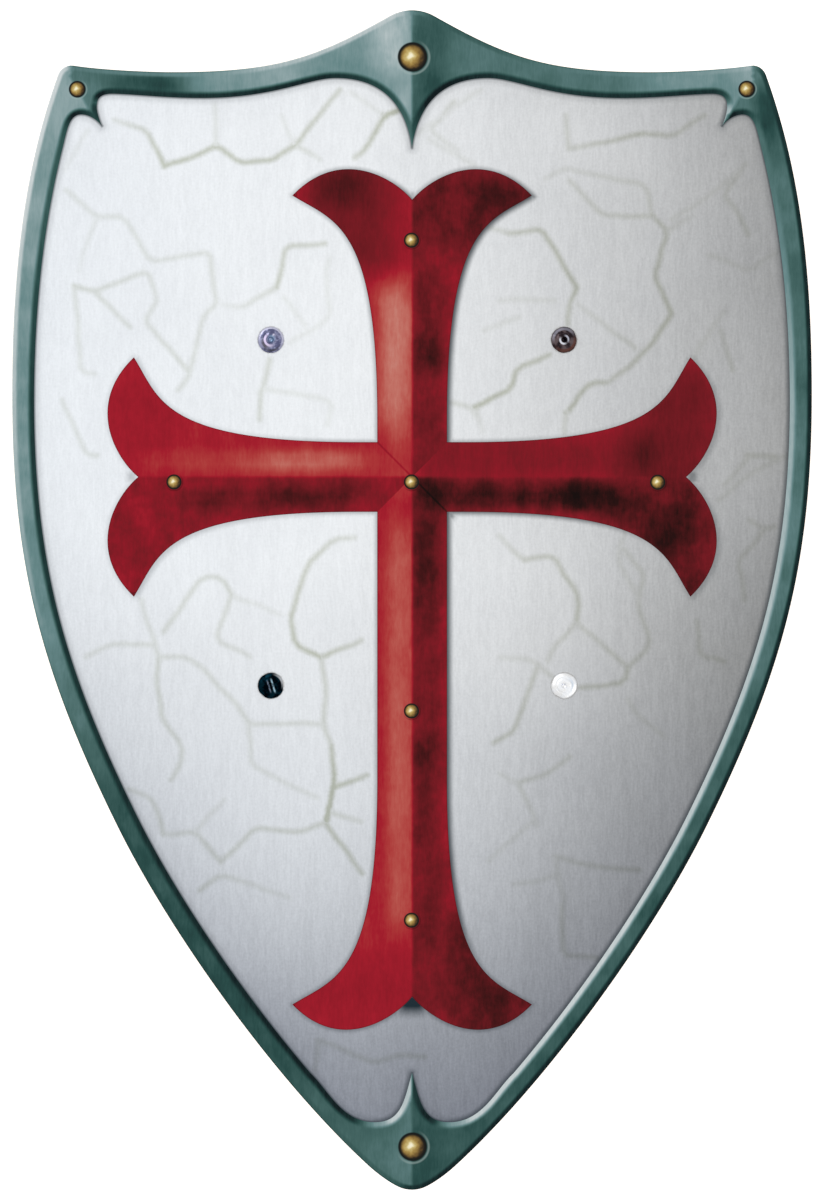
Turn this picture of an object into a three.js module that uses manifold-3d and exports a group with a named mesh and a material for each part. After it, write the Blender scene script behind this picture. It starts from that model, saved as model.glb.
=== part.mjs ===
// Toy knight shield: a flat plywood board cut to a heater outline, with a printed face,
// and two leather arm straps held to its back by four tubular steel rivets.
//
// Millimetres, +Z up. The shield lies on the crests of its straps with its face up, and the
// top of the shield points to +Y. The origin is on the surface that it lies on, below the
// middle of the outline. Left and right are those of someone who looks at the face.

import * as THREE from 'three';
import { mergeVertices } from 'three/addons/utils/BufferGeometryUtils.js';
import Module from 'manifold-3d';

const wasm = await Module();
wasm.setup();

// Board
const board_height = 472;
const board_width = 320;
const board_thickness = 6;
const board_edge_round = 0.5;

// Outline of the board: rounded places, and the slopes where they end, in degrees
const peak_radius = 18.2;
const peak_slope_deg = 29.4;
const corner_radius = 5.6;
const corner_rise_deg = 9;
const corner_drop_deg = 70;
const tip_radius = 13;
const tip_slope_deg = 28;

// Outline of the board: places as shares of its half width, out from the middle line,
// and of its height, down from the peak, and slopes there in degrees
const trough_out_share = 0.598;
const trough_down_share = 0.0525;
const corner_out_share = 0.852;
const corner_down_share = 0.0587;
const widest_down_share = 0.326;
const flank_out_share = 0.736;
const flank_down_share = 0.6921;
const flank_slope_deg = 63.7;
const lower_out_share = 0.111;
const lower_down_share = 0.9788;
const lower_slope_deg = 42.6;
const outline_step = 7;

// Rivets
const rivet_row_pitch = 138.3;
const rivet_column_pitch = 117.3;
const rivet_group_off_middle = 2.2;
const rivet_group_down = 201.1;
const rivet_head_diameter = 10.6;
const rivet_head_rise = 1.3;
const rivet_head_rim = 0.45;
const rivet_dimple_diameter = 2.2;
const rivet_dimple_depth = 0.7;
const rivet_shank_diameter = 4;
const rivet_tail_diameter = 7.4;
const rivet_tail_height = 1.3;
const rivet_bore_diameter = 2.4;
const rivet_bore_depth = 5;
const rivet_hole_clearance = 0.3;
const rivet_sides = 24;
const rivet_dome_steps = 4;
const rivet_roll_steps = 6;
const rivet_dimple_steps = 3;

// Straps
const strap_width = 26;
const strap_thickness = 2.6;
const strap_standoff = 46;
const strap_crest_span = 76.5;
const strap_crest_bend = 15;
const strap_lug_bend = 8;
const strap_past_rivet = 13;
const strap_before_bend = 12;
const strap_end_sides = 24;
const strap_bend_steps = 6;

const half_turn_deg = 180;

// Places that follow from the sizes above
const peak_y = board_height / 2;
const board_back = strap_standoff;
const board_face = board_back + board_thickness;
const rivet_hole_radius = rivet_shank_diameter / 2 + rivet_hole_clearance;
const rivet_row_middle = peak_y - rivet_group_down;
const columns = { left: -rivet_column_pitch / 2, right: rivet_column_pitch / 2 };
const rows = { top: rivet_row_pitch / 2, bottom: -rivet_row_pitch / 2 };

const degrees = (angle) => THREE.MathUtils.degToRad(angle);
const column_x = (side) => rivet_group_off_middle + columns[side];
const row_y = (end) => rivet_row_middle + rows[end];

// A point given by its shares of the outline's half width and height.
function outline_point(out, down) {
  return new THREE.Vector2(out * board_width / 2, peak_y - down * board_height);
}

// Points of an arc, from the clock angle start to end, measured from straight up.
function arc_points(centre, radius, start, end, steps) {
  const points = [];
  for (let step = 0; step <= steps; step += 1) {
    const angle = degrees(start + (end - start) * step / steps);
    points.push(new THREE.Vector2(
      centre.x + radius * Math.sin(angle),
      centre.y + radius * Math.cos(angle),
    ));
  }
  return points;
}

// Points of a smooth curve between two places with a heading at each, below the horizontal.
// The pulls are the lengths of its handles as shares of the distance between the places.
function curve_points(from, heading_from, pull_from, to, heading_to, pull_to) {
  const reach = from.distanceTo(to);
  const ahead = new THREE.Vector2(Math.cos(degrees(heading_from)), -Math.sin(degrees(heading_from)));
  const behind = new THREE.Vector2(Math.cos(degrees(heading_to)), -Math.sin(degrees(heading_to)));
  const curve = new THREE.CubicBezierCurve(
    from,
    from.clone().addScaledVector(ahead, reach * pull_from),
    to.clone().addScaledVector(behind, -reach * pull_to),
    to,
  );
  return curve.getSpacedPoints(Math.max(3, Math.round(reach / outline_step)));
}

// The right half of the outline, from the peak to the tip.
function half_outline() {
  const peak_centre = new THREE.Vector2(0, peak_y - peak_radius);
  const corner_centre = outline_point(corner_out_share, corner_down_share);
  const tip_centre = new THREE.Vector2(0, -peak_y + tip_radius);
  const peak = arc_points(peak_centre, peak_radius, 0, peak_slope_deg, 4);
  const corner = arc_points(corner_centre, corner_radius, -corner_rise_deg, corner_drop_deg, 7);
  const tip = arc_points(tip_centre, tip_radius, half_turn_deg - tip_slope_deg, half_turn_deg, 4);
  const trough = outline_point(trough_out_share, trough_down_share);
  const widest = outline_point(1, widest_down_share);
  const flank = outline_point(flank_out_share, flank_down_share);
  const lower = outline_point(lower_out_share, lower_down_share);
  const flank_heading = half_turn_deg - flank_slope_deg;
  const lower_heading = half_turn_deg - lower_slope_deg;
  const tip_heading = half_turn_deg - tip_slope_deg;
  const stretches = [
    peak,
    curve_points(peak.at(-1), peak_slope_deg, 0.378, trough, 0, 0.466),
    curve_points(trough, 0, 0.23, corner[0], -corner_rise_deg, 0.28),
    corner,
    curve_points(corner.at(-1), corner_drop_deg, 0.338, widest, 90, 0.338),
    curve_points(widest, 90, 0.381, flank, flank_heading, 0.39),
    curve_points(flank, flank_heading, 0.283, lower, lower_heading, 0.297),
    curve_points(lower, lower_heading, 0.33, tip[0], tip_heading, 0.33),
    tip,
  ];
  return stretches.flatMap((points, index) => (index === 0 ? points : points.slice(1)));
}

// The whole outline as a closed shape, the left half mirrored from the right.
function board_outline() {
  const right = half_outline();
  const left = right.slice(1, -1).reverse().map((point) => new THREE.Vector2(-point.x, point.y));
  return new THREE.Shape([...right, ...left]);
}

// A round hole as a path that runs the other way round from the outline.
function hole_path(x, y, radius, sides) {
  return new THREE.Path(arc_points(new THREE.Vector2(x, y), radius, 360, 0, sides).slice(1));
}

// The board, with its four rivet holes and its edges eased with sandpaper.
function board_geometry() {
  const outline = board_outline();
  for (const side of Object.keys(columns)) {
    for (const end of Object.keys(rows)) {
      outline.holes.push(hole_path(column_x(side), row_y(end), rivet_hole_radius, rivet_sides));
    }
  }
  const geometry = new THREE.ExtrudeGeometry(outline, {
    depth: board_thickness - 2 * board_edge_round,
    bevelEnabled: true,
    bevelSize: board_edge_round,
    bevelOffset: -board_edge_round,
    bevelThickness: board_edge_round,
    bevelSegments: 2,
    steps: 1,
    curveSegments: 1,
  });
  return geometry.translate(0, 0, board_back + board_edge_round);
}

// A rivet: low domed head with a dimple on the face, hollow shank, rolled tail on the strap.
function rivet_geometry() {
  const head_radius = rivet_head_diameter / 2;
  const dimple_radius = rivet_dimple_diameter / 2;
  const shank_radius = rivet_shank_diameter / 2;
  const tail_radius = rivet_tail_diameter / 2;
  const bore_radius = rivet_bore_diameter / 2;
  const tail_top = board_back - strap_thickness;
  const roll_middle = tail_top - rivet_tail_height / 2;
  const bore_top = tail_top - rivet_tail_height + rivet_bore_depth;
  const dome_top = board_face + rivet_head_rise;
  const rim_top = board_face + rivet_head_rim;
  const profile = [[0, bore_top], [bore_radius, bore_top]];
  for (let step = 0; step <= rivet_roll_steps; step += 1) {
    const angle = Math.PI * step / rivet_roll_steps;
    profile.push([
      (tail_radius + bore_radius) / 2 - Math.cos(angle) * (tail_radius - bore_radius) / 2,
      roll_middle - Math.sin(angle) * rivet_tail_height / 2,
    ]);
  }
  profile.push([tail_radius, tail_top], [shank_radius, tail_top]);
  profile.push([shank_radius, board_face], [head_radius, board_face]);
  for (let step = 0; step <= rivet_dome_steps; step += 1) {
    const inward = step / rivet_dome_steps;
    const fall = (1 - inward) ** 2;
    profile.push([
      head_radius + (dimple_radius - head_radius) * inward,
      dome_top - (dome_top - rim_top) * fall,
    ]);
  }
  for (let step = 1; step <= rivet_dimple_steps; step += 1) {
    const angle = Math.PI / 2 * step / rivet_dimple_steps;
    profile.push([
      step === rivet_dimple_steps ? 0 : dimple_radius * Math.cos(angle),
      dome_top - rivet_dimple_depth * Math.sin(angle),
    ]);
  }
  const geometry = new THREE.LatheGeometry(
    profile.map(([radius, height]) => new THREE.Vector2(radius, height)),
    rivet_sides,
  );
  return upright(geometry);
}

// Turns a shape so that its Y runs up Z, its X along Y and its Z along X.
function upright(geometry) {
  return permute(geometry, (x, y, z) => [z, x, y]);
}

// Puts each vertex at the place that a rule gives for it, without rounding.
function permute(geometry, rule) {
  const position = geometry.getAttribute('position');
  for (let index = 0; index < position.count; index += 1) {
    position.setXYZ(index, ...rule(position.getX(index), position.getY(index), position.getZ(index)));
  }
  geometry.computeVertexNormals();
  return geometry;
}

// Samples of a path through the given places, its corners rounded: each a place and a normal.
function rounded_path(places, radii, steps) {
  const samples = [];
  places.forEach((place, index) => {
    if (index === 0 || index === places.length - 1) {
      const other = places[index === 0 ? 1 : index - 1];
      const along = (index === 0 ? other.clone().sub(place) : place.clone().sub(other)).normalize();
      samples.push({ place, normal: new THREE.Vector2(-along.y, along.x) });
      return;
    }
    const before = place.clone().sub(places[index - 1]).normalize();
    const after = places[index + 1].clone().sub(place).normalize();
    const turn = Math.atan2(before.cross(after), before.dot(after));
    const radius = radii[index - 1];
    const side = Math.sign(turn);
    const start = place.clone().addScaledVector(before, -radius * Math.tan(Math.abs(turn) / 2));
    const normal_before = new THREE.Vector2(-before.y, before.x);
    const centre = start.clone().addScaledVector(normal_before, side * radius);
    for (let step = 0; step <= steps; step += 1) {
      const origin = new THREE.Vector2(0, 0);
      const normal = normal_before.clone().rotateAround(origin, turn * step / steps);
      samples.push({ place: centre.clone().addScaledVector(normal, -side * radius), normal });
    }
  });
  return samples;
}

// The strap seen from its side, as a closed shape: lug, leg, crest, leg, lug.
function strap_side() {
  const top = board_back - strap_thickness / 2;
  const bottom = strap_thickness / 2;
  const rivet = rivet_row_pitch / 2;
  const right = [
    new THREE.Vector2(strap_crest_span / 2, bottom),
    new THREE.Vector2(rivet - strap_before_bend, top),
    new THREE.Vector2(rivet + strap_past_rivet, top),
  ];
  const left = right.map((point) => new THREE.Vector2(-point.x, point.y)).reverse();
  const radii = [strap_lug_bend, strap_crest_bend, strap_crest_bend, strap_lug_bend];
  const samples = rounded_path([...left, ...right], radii, strap_bend_steps);
  const offset = (side) => samples.map(
    ({ place, normal }) => place.clone().addScaledVector(normal, side * strap_thickness / 2),
  );
  return new THREE.Shape([...offset(-1), ...offset(1).reverse()]);
}

// The strap seen from above, as a closed shape with round ends.
function strap_plan() {
  const radius = strap_width / 2;
  const run = rivet_row_pitch / 2 + strap_past_rivet - radius;
  const steps = strap_end_sides / 2;
  const top = arc_points(new THREE.Vector2(0, run), radius, -90, 90, steps);
  const bottom = arc_points(new THREE.Vector2(0, -run), radius, 90, 270, steps);
  return new THREE.Shape([...top, ...bottom]);
}

// A closed geometry as a solid that can be cut.
function solid_of(geometry) {
  const bare = geometry.clone();
  bare.deleteAttribute('normal');
  bare.deleteAttribute('uv');
  const merged = mergeVertices(bare, 1e-4);
  return new wasm.Manifold(new wasm.Mesh({
    numProp: 3,
    vertProperties: new Float32Array(merged.getAttribute('position').array),
    triVerts: new Uint32Array(merged.getIndex().array),
  }));
}

function geometry_of(solid) {
  const mesh = solid.getMesh();
  const geometry = new THREE.BufferGeometry();
  geometry.setAttribute('position', new THREE.BufferAttribute(new Float32Array(mesh.vertProperties), 3));
  geometry.setIndex(new THREE.BufferAttribute(new Uint32Array(mesh.triVerts), 1));
  geometry.computeVertexNormals();
  return geometry;
}

// A strap about the middle of its own rivets: its side shape, cut to its plan and drilled.
function strap_geometry() {
  const side = new THREE.ExtrudeGeometry(strap_side(), { depth: strap_width, bevelEnabled: false });
  side.translate(0, 0, -strap_width / 2);
  const ribbon = solid_of(upright(side));
  const plan = new THREE.ExtrudeGeometry(strap_plan(), {
    depth: board_back + 2 * strap_thickness,
    bevelEnabled: false,
  });
  plan.translate(0, 0, -strap_thickness);
  let strap = ribbon.intersect(solid_of(plan));
  for (const end of Object.keys(rows)) {
    const drill = upright(new THREE.CylinderGeometry(
      rivet_hole_radius,
      rivet_hole_radius,
      4 * strap_thickness,
      rivet_sides,
    ));
    drill.translate(0, rows[end], board_back);
    strap = strap.subtract(solid_of(drill));
  }
  return geometry_of(strap);
}

const wood = new THREE.MeshStandardMaterial({ color: 0xdad8d2, roughness: 0.55, metalness: 0 });
const steel = new THREE.MeshStandardMaterial({ color: 0x8e9096, roughness: 0.3, metalness: 1 });
const leather = new THREE.MeshStandardMaterial({ color: 0x5a3a22, roughness: 0.65, metalness: 0 });

function piece(name, geometry, material, x, y) {
  const mesh = new THREE.Mesh(geometry, material.clone());
  mesh.name = name;
  mesh.position.set(x, y, 0);
  return mesh;
}

const shield = new THREE.Group();
shield.name = 'toy_knight_shield';
shield.add(piece('board', board_geometry(), wood, 0, 0));
for (const side of Object.keys(columns)) {
  shield.add(piece(`strap_${side}`, strap_geometry(), leather, column_x(side), rivet_row_middle));
  for (const end of Object.keys(rows)) {
    shield.add(piece(`rivet_${end}_${side}`, rivet_geometry(), steel, column_x(side), row_y(end)));
  }
}

export default shield;
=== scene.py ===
"""Scene for the toy knight shield: a printed plywood board, four tubular rivets and two straps.

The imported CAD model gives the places. Lengths in the classes are millimetres in the row frame,
and meshes are made in metres. The frame, the cross, the studs and the cracks on the face are
print, so they are colours on one flat face. The edges of the print are edges of the mesh, and
the painted light is carried by vertex attributes that are worked out from those edges.
"""

import logging
import math
from collections.abc import Callable
from dataclasses import dataclass, field
from enum import Enum

import bmesh
import bpy
import numpy as np
from mathutils import Matrix, Vector, geometry, kdtree, noise


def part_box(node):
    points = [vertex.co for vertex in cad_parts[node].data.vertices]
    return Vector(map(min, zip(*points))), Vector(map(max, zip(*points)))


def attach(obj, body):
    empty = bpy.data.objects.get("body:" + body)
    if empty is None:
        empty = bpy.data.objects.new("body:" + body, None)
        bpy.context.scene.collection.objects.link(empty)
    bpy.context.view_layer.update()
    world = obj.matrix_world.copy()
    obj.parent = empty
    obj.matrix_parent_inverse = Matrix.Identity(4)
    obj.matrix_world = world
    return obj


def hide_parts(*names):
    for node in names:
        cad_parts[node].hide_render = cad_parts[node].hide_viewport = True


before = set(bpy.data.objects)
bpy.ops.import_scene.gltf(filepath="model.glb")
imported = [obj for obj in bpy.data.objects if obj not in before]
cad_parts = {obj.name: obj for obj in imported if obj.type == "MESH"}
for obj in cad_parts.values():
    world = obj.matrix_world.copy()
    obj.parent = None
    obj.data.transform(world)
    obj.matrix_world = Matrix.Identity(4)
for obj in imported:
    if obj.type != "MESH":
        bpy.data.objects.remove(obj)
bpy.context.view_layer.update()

LOG = logging.getLogger("shield")
MM = 0.001
BODY = "root"
FRAME_STUDS = ((0.2, 217.2, 6.0), (0.2, -218.7, 5.8), (-133.9, 204.3, 3.4), (133.9, 204.4, 3.4))
CROSS_STUD_RADIUS = 3.1
CROSS_STUDS = (
    (-0.2, 143.9), (-95.2, 47.2), (-0.2, 47.2), (98.3, 47.1), (-0.2, -44.4), (-0.2, -128.1),
)

Line = np.ndarray
Socket = bpy.types.NodeSocket
Colour = tuple[int, int, int]


class PrintArea(Enum):
    """Surfaces of the board, in the order of its material slots."""

    FIELD = 0
    FRAME = 1
    CROSS = 2
    EDGE = 3
    BACK = 4


class HeadState(Enum):
    """Which painted reflection each rivet head has, by the row and the side it is on."""

    # Each head is steel painted with what it reflects: bluish, brownish, dark or white.
    POLISHED = "rivet_top_left"
    WORN = "rivet_top_right"
    BLACKENED = "rivet_bottom_left"
    BRIGHT = "rivet_bottom_right"


# Plane geometry, in millimetres


def smooth_step(value: np.ndarray, low: float, high: float) -> np.ndarray:
    """Eases from 0 at low to 1 at high.

    Args:
        value: Numbers to ease.
        low: Where the result is 0.
        high: Where the result is 1.

    Returns:
        An array of the eased numbers.
    """
    share = np.clip((value - low) / (high - low), 0.0, 1.0)
    return share * share * (3.0 - 2.0 * share)


def arc(centre: tuple[float, float], radius: float, start: float, end: float) -> Line:
    """Points of an arc between two clock angles.

    Args:
        centre: Middle of the circle.
        radius: Radius of the circle.
        start: First angle in degrees, clockwise from straight up.
        end: Last angle in degrees.

    Returns:
        Points along the arc, one row each.
    """
    angles = np.radians(np.linspace(start, end, max(8, int(abs(end - start) / 3))))
    return np.stack([centre[0] + radius * np.sin(angles), centre[1] + radius * np.cos(angles)], 1)


def curve(
    start: tuple[float, float],
    heading_start: float,
    pull_start: float,
    end: tuple[float, float],
    heading_end: float,
    pull_end: float,
) -> Line:
    """Points of a smooth curve between two places with a heading at each.

    Args:
        start: First place.
        heading_start: Heading there, in degrees below the horizontal.
        pull_start: Length of its handle as a share of the distance between the places.
        end: Last place.
        heading_end: Heading there, in degrees below the horizontal.
        pull_end: Length of its handle, as a share of the same distance.

    Returns:
        Points along the curve, one row each.
    """
    first, last = np.array(start, float), np.array(end, float)
    reach = np.linalg.norm(last - first)
    angles = np.radians([heading_start, heading_end])
    ahead, behind = (np.array([math.cos(a), -math.sin(a)]) for a in angles)
    handles = first + ahead * reach * pull_start, last - behind * reach * pull_end
    t = np.linspace(0.0, 1.0, 60)[:, None]
    return (
        (1 - t) ** 3 * first
        + 3 * (1 - t) ** 2 * t * handles[0]
        + 3 * (1 - t) * t**2 * handles[1]
        + t**3 * last
    )


def spaced(line: Line, step: float) -> Line:
    """The same line with its points about one step apart and its ends kept."""
    gaps = np.linalg.norm(np.diff(line[:, :2], axis=0), axis=1)
    lengths = np.concatenate([[0.0], np.cumsum(gaps)])
    count = max(1, round(lengths[-1] / step))
    places = np.linspace(0.0, lengths[-1], count + 1)
    return np.stack([np.interp(places, lengths, column) for column in line.T], 1)


def mirrored(spans: list[Line]) -> list[Line]:
    """The spans of a right half and of its mirror image, in order round the closed line."""
    return spans + [span[::-1] * (-1.0, 1.0) for span in reversed(spans)]


def hole_ring(centre: tuple[float, float], radius: float) -> Line:
    """The outline of a round hole, without its first point again."""
    return arc(centre, radius, 0, 360)[::5][:-1]


def turned(angle: float) -> np.ndarray:
    """The matrix that turns rows of points by an angle in radians."""
    return np.array([[math.cos(angle), math.sin(angle)], [-math.sin(angle), math.cos(angle)]])


def search_tree(points: Line) -> kdtree.KDTree:
    """A tree that finds the nearest of the points in the plane."""
    tree = kdtree.KDTree(len(points))
    for index, point in enumerate(points):
        tree.insert((point[0], point[1], 0.0), index)
    tree.balance()
    return tree


@dataclass
class Contour:
    """A closed line on the face, made of spans that meet in corners."""

    spans: list[Line]
    sample_step: float = 0.25

    def points(self, step: float) -> Line:
        """Points round the line, about one step apart, without the first one again."""
        return np.concatenate([spaced(span, step)[:-1] for span in self.spans])

    def holds(self, places: np.ndarray) -> np.ndarray:
        """Which of the places lie inside the line.

        Args:
            places: Points, one row each.

        Returns:
            One truth value for each place.
        """
        ring = self.points(1.0)
        px, py = places[:, 0], places[:, 1]
        inside = np.zeros(len(places), bool)
        for (x0, y0), (x1, y1) in zip(ring, np.roll(ring, -1, axis=0)):
            crosses = (y0 > py) != (y1 > py)
            if crosses.any():
                inside ^= crosses & (px < (x1 - x0) * (py - y0) / (y1 - y0) + x0)
        return inside

    def measure(self, places: np.ndarray) -> tuple[np.ndarray, np.ndarray]:
        """How deep the places lie inside the line, and which way its nearest edge faces.

        Args:
            places: Points, one row each.

        Returns:
            Depths, negative outside, and the outward direction at the nearest edge.
        """
        ring = self.points(self.sample_step)
        along = np.roll(ring, -1, axis=0) - np.roll(ring, 1, axis=0)
        along /= np.linalg.norm(along, axis=1)[:, None]
        turns = np.sum(ring[:, 0] * np.roll(ring[:, 1], -1) - np.roll(ring[:, 0], -1) * ring[:, 1])
        outward = np.stack([along[:, 1], -along[:, 0]], 1) * math.copysign(1.0, turns)
        tree = search_tree(ring)
        nearest = np.array([tree.find((x, y, 0.0))[1] for x, y in places])
        gap = places - ring[nearest]
        slide = np.clip(np.sum(gap * along[nearest], 1), -self.sample_step, self.sample_step)
        distance = np.linalg.norm(gap - slide[:, None] * along[nearest], axis=1)
        return np.where(self.holds(places), distance, -distance), outward[nearest]


@dataclass
class BoardOutline:
    """The heater outline, from the same sizes as the part's own source."""

    height: float = 472.0
    width: float = 320.0
    peak_radius: float = 18.2
    peak_slope: float = 29.4
    corner_radius: float = 5.6
    corner_rise: float = 9.0
    corner_drop: float = 70.0
    tip_radius: float = 13.0
    tip_slope: float = 28.0
    trough: tuple[float, float] = (0.598, 0.0525)
    corner: tuple[float, float] = (0.852, 0.0587)
    widest: tuple[float, float] = (1.0, 0.326)
    flank: tuple[float, float] = (0.736, 0.6921)
    flank_slope: float = 63.7
    lower: tuple[float, float] = (0.111, 0.9788)
    lower_slope: float = 42.6

    def place(self, shares: tuple[float, float]) -> tuple[float, float]:
        """A point from its shares of the half width and of the height below the peak."""
        return shares[0] * self.width / 2, self.height / 2 - shares[1] * self.height

    def half(self) -> list[Line]:
        """The spans of the right half, from the peak to the tip."""
        peak = arc((0, self.height / 2 - self.peak_radius), self.peak_radius, 0, self.peak_slope)
        corner = arc(
            self.place(self.corner), self.corner_radius, -self.corner_rise, self.corner_drop
        )
        tip_middle = (0, -self.height / 2 + self.tip_radius)
        tip = arc(tip_middle, self.tip_radius, 180 - self.tip_slope, 180)
        trough, widest = self.place(self.trough), self.place(self.widest)
        flank, lower = self.place(self.flank), self.place(self.lower)
        flank_heading, lower_heading = 180 - self.flank_slope, 180 - self.lower_slope
        return [
            peak,
            curve(peak[-1], self.peak_slope, 0.378, trough, 0, 0.466),
            curve(trough, 0, 0.23, corner[0], -self.corner_rise, 0.28),
            corner,
            curve(corner[-1], self.corner_drop, 0.338, widest, 90, 0.338),
            curve(widest, 90, 0.381, flank, flank_heading, 0.39),
            curve(flank, flank_heading, 0.283, lower, lower_heading, 0.297),
            curve(lower, lower_heading, 0.33, tip[0], 180 - self.tip_slope, 0.33),
            tip,
        ]

    def contour(self) -> Contour:
        """The whole outline."""
        return Contour(mirrored(self.half()))


@dataclass
class FieldOutline:
    """The inner edge of the printed frame, with a cusp at top and bottom and a barb at each corner."""

    outline: BoardOutline
    side_width: float = 8.8
    top_widening: float = 1.5
    side_high: float = 181.0
    side_low: float = -190.0
    top_cusp: tuple[float, float] = (0.0, 180.8)
    shoulder: tuple[float, float] = (30.5, 208.8)
    trough: tuple[float, float] = (84.0, 200.8)
    barb_root: tuple[float, float] = (119.0, 202.5)
    barb_neck: tuple[float, float] = (126.1, 197.0)
    barb_tip: tuple[float, float] = (124.0, 189.6)
    barb_hollow: tuple[float, float] = (131.6, 194.2)
    bottom_lobe: tuple[float, float] = (14.2, -208.9)
    bottom_cusp: tuple[float, float] = (0.0, -189.2)

    def inset(self, spans: list[Line], gap: float) -> Line:
        """The spans as one line, moved a gap to the inside."""
        line = spaced(np.concatenate([span[:-1] for span in spans]), 1.0)
        along = np.gradient(line, axis=0)
        along /= np.linalg.norm(along, axis=1)[:, None]
        wide = gap + self.top_widening * smooth_step(line[:, 1:], 70.0, 190.0)
        return line + np.stack([along[:, 1], -along[:, 0]], 1) * wide

    def half(self) -> list[Line]:
        """The spans of the right half, from the top cusp to the bottom cusp."""
        side = self.inset(self.outline.half()[3:8], self.side_width)
        side = side[(side[:, 1] < self.side_high) & (side[:, 1] > self.side_low)]
        return [
            curve(self.top_cusp, -82, 0.4, self.shoulder, 0, 0.47),
            curve(self.shoulder, 0, 0.2, self.trough, 0, 0.53),
            curve(self.trough, 0, 0.4, self.barb_root, -2, 0.3),
            curve(self.barb_root, -2, 0.6, self.barb_neck, 92, 0.45),
            curve(self.barb_neck, 92, 0.3, self.barb_tip, 118, 0.2),
            curve(self.barb_tip, -52, 0.25, self.barb_hollow, -6, 0.4),
            curve(self.barb_hollow, -6, 0.35, tuple(side[0]), 76, 0.5),
            side,
            curve(tuple(side[-1]), 137, 0.3, self.bottom_lobe, 182, 0.42),
            curve(self.bottom_lobe, 182, 0.4, self.bottom_cusp, 255, 0.5),
        ]

    def contour(self) -> Contour:
        """The whole inner edge of the frame."""
        return Contour(mirrored(self.half()))


@dataclass
class CrossOutline:
    """The printed cross, with flared arms that end in two round lobes."""

    centre: tuple[float, float] = (0.05, 49.2)
    half_width: float = 13.95
    tip_out: float = 47.9
    flare_length: float = 90.1
    side_tip: float = 111.3
    top_tip: float = 112.6
    bottom_tip: float = 211.0
    notch_step: float = 1.7
    bottom_notch_step: float = 3.1

    def half_arm(self, tip: float, notch_step: float) -> list[Line]:
        """The right half of an arm that points up, from its root to its notch.

        Args:
            tip: How far out the points of its flare are.
            notch_step: How much further in the notch between its lobes is.

        Returns:
            Spans of the straight side, the flare and the lobe.
        """
        place, notch = (self.tip_out, tip), (0.0, tip - notch_step)
        root = (self.half_width, tip - self.flare_length)
        side = np.array([[self.half_width, self.half_width], root])
        flare = curve(root, -90, 0.83, place, -32.6, 0.2)
        lobe = curve(place, -133.8, 0.577, notch, 129.6, 0.238)
        return [side, flare, lobe]

    def contour(self) -> Contour:
        """The whole cross, clockwise from the left root of its upper arm."""
        spans: list[Line] = []
        steps = (self.notch_step, self.notch_step, self.bottom_notch_step, self.notch_step)
        tips = (self.top_tip, self.side_tip, self.bottom_tip, self.side_tip)
        for quarter, (tip, step) in enumerate(zip(tips, steps)):
            spin = turned(-math.pi / 2 * quarter)
            half = self.half_arm(tip, step)
            arm = [span * (-1.0, 1.0) for span in half] + [span[::-1] for span in reversed(half)]
            spans += [span @ spin + self.centre for span in arm]
        return Contour(spans)


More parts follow.
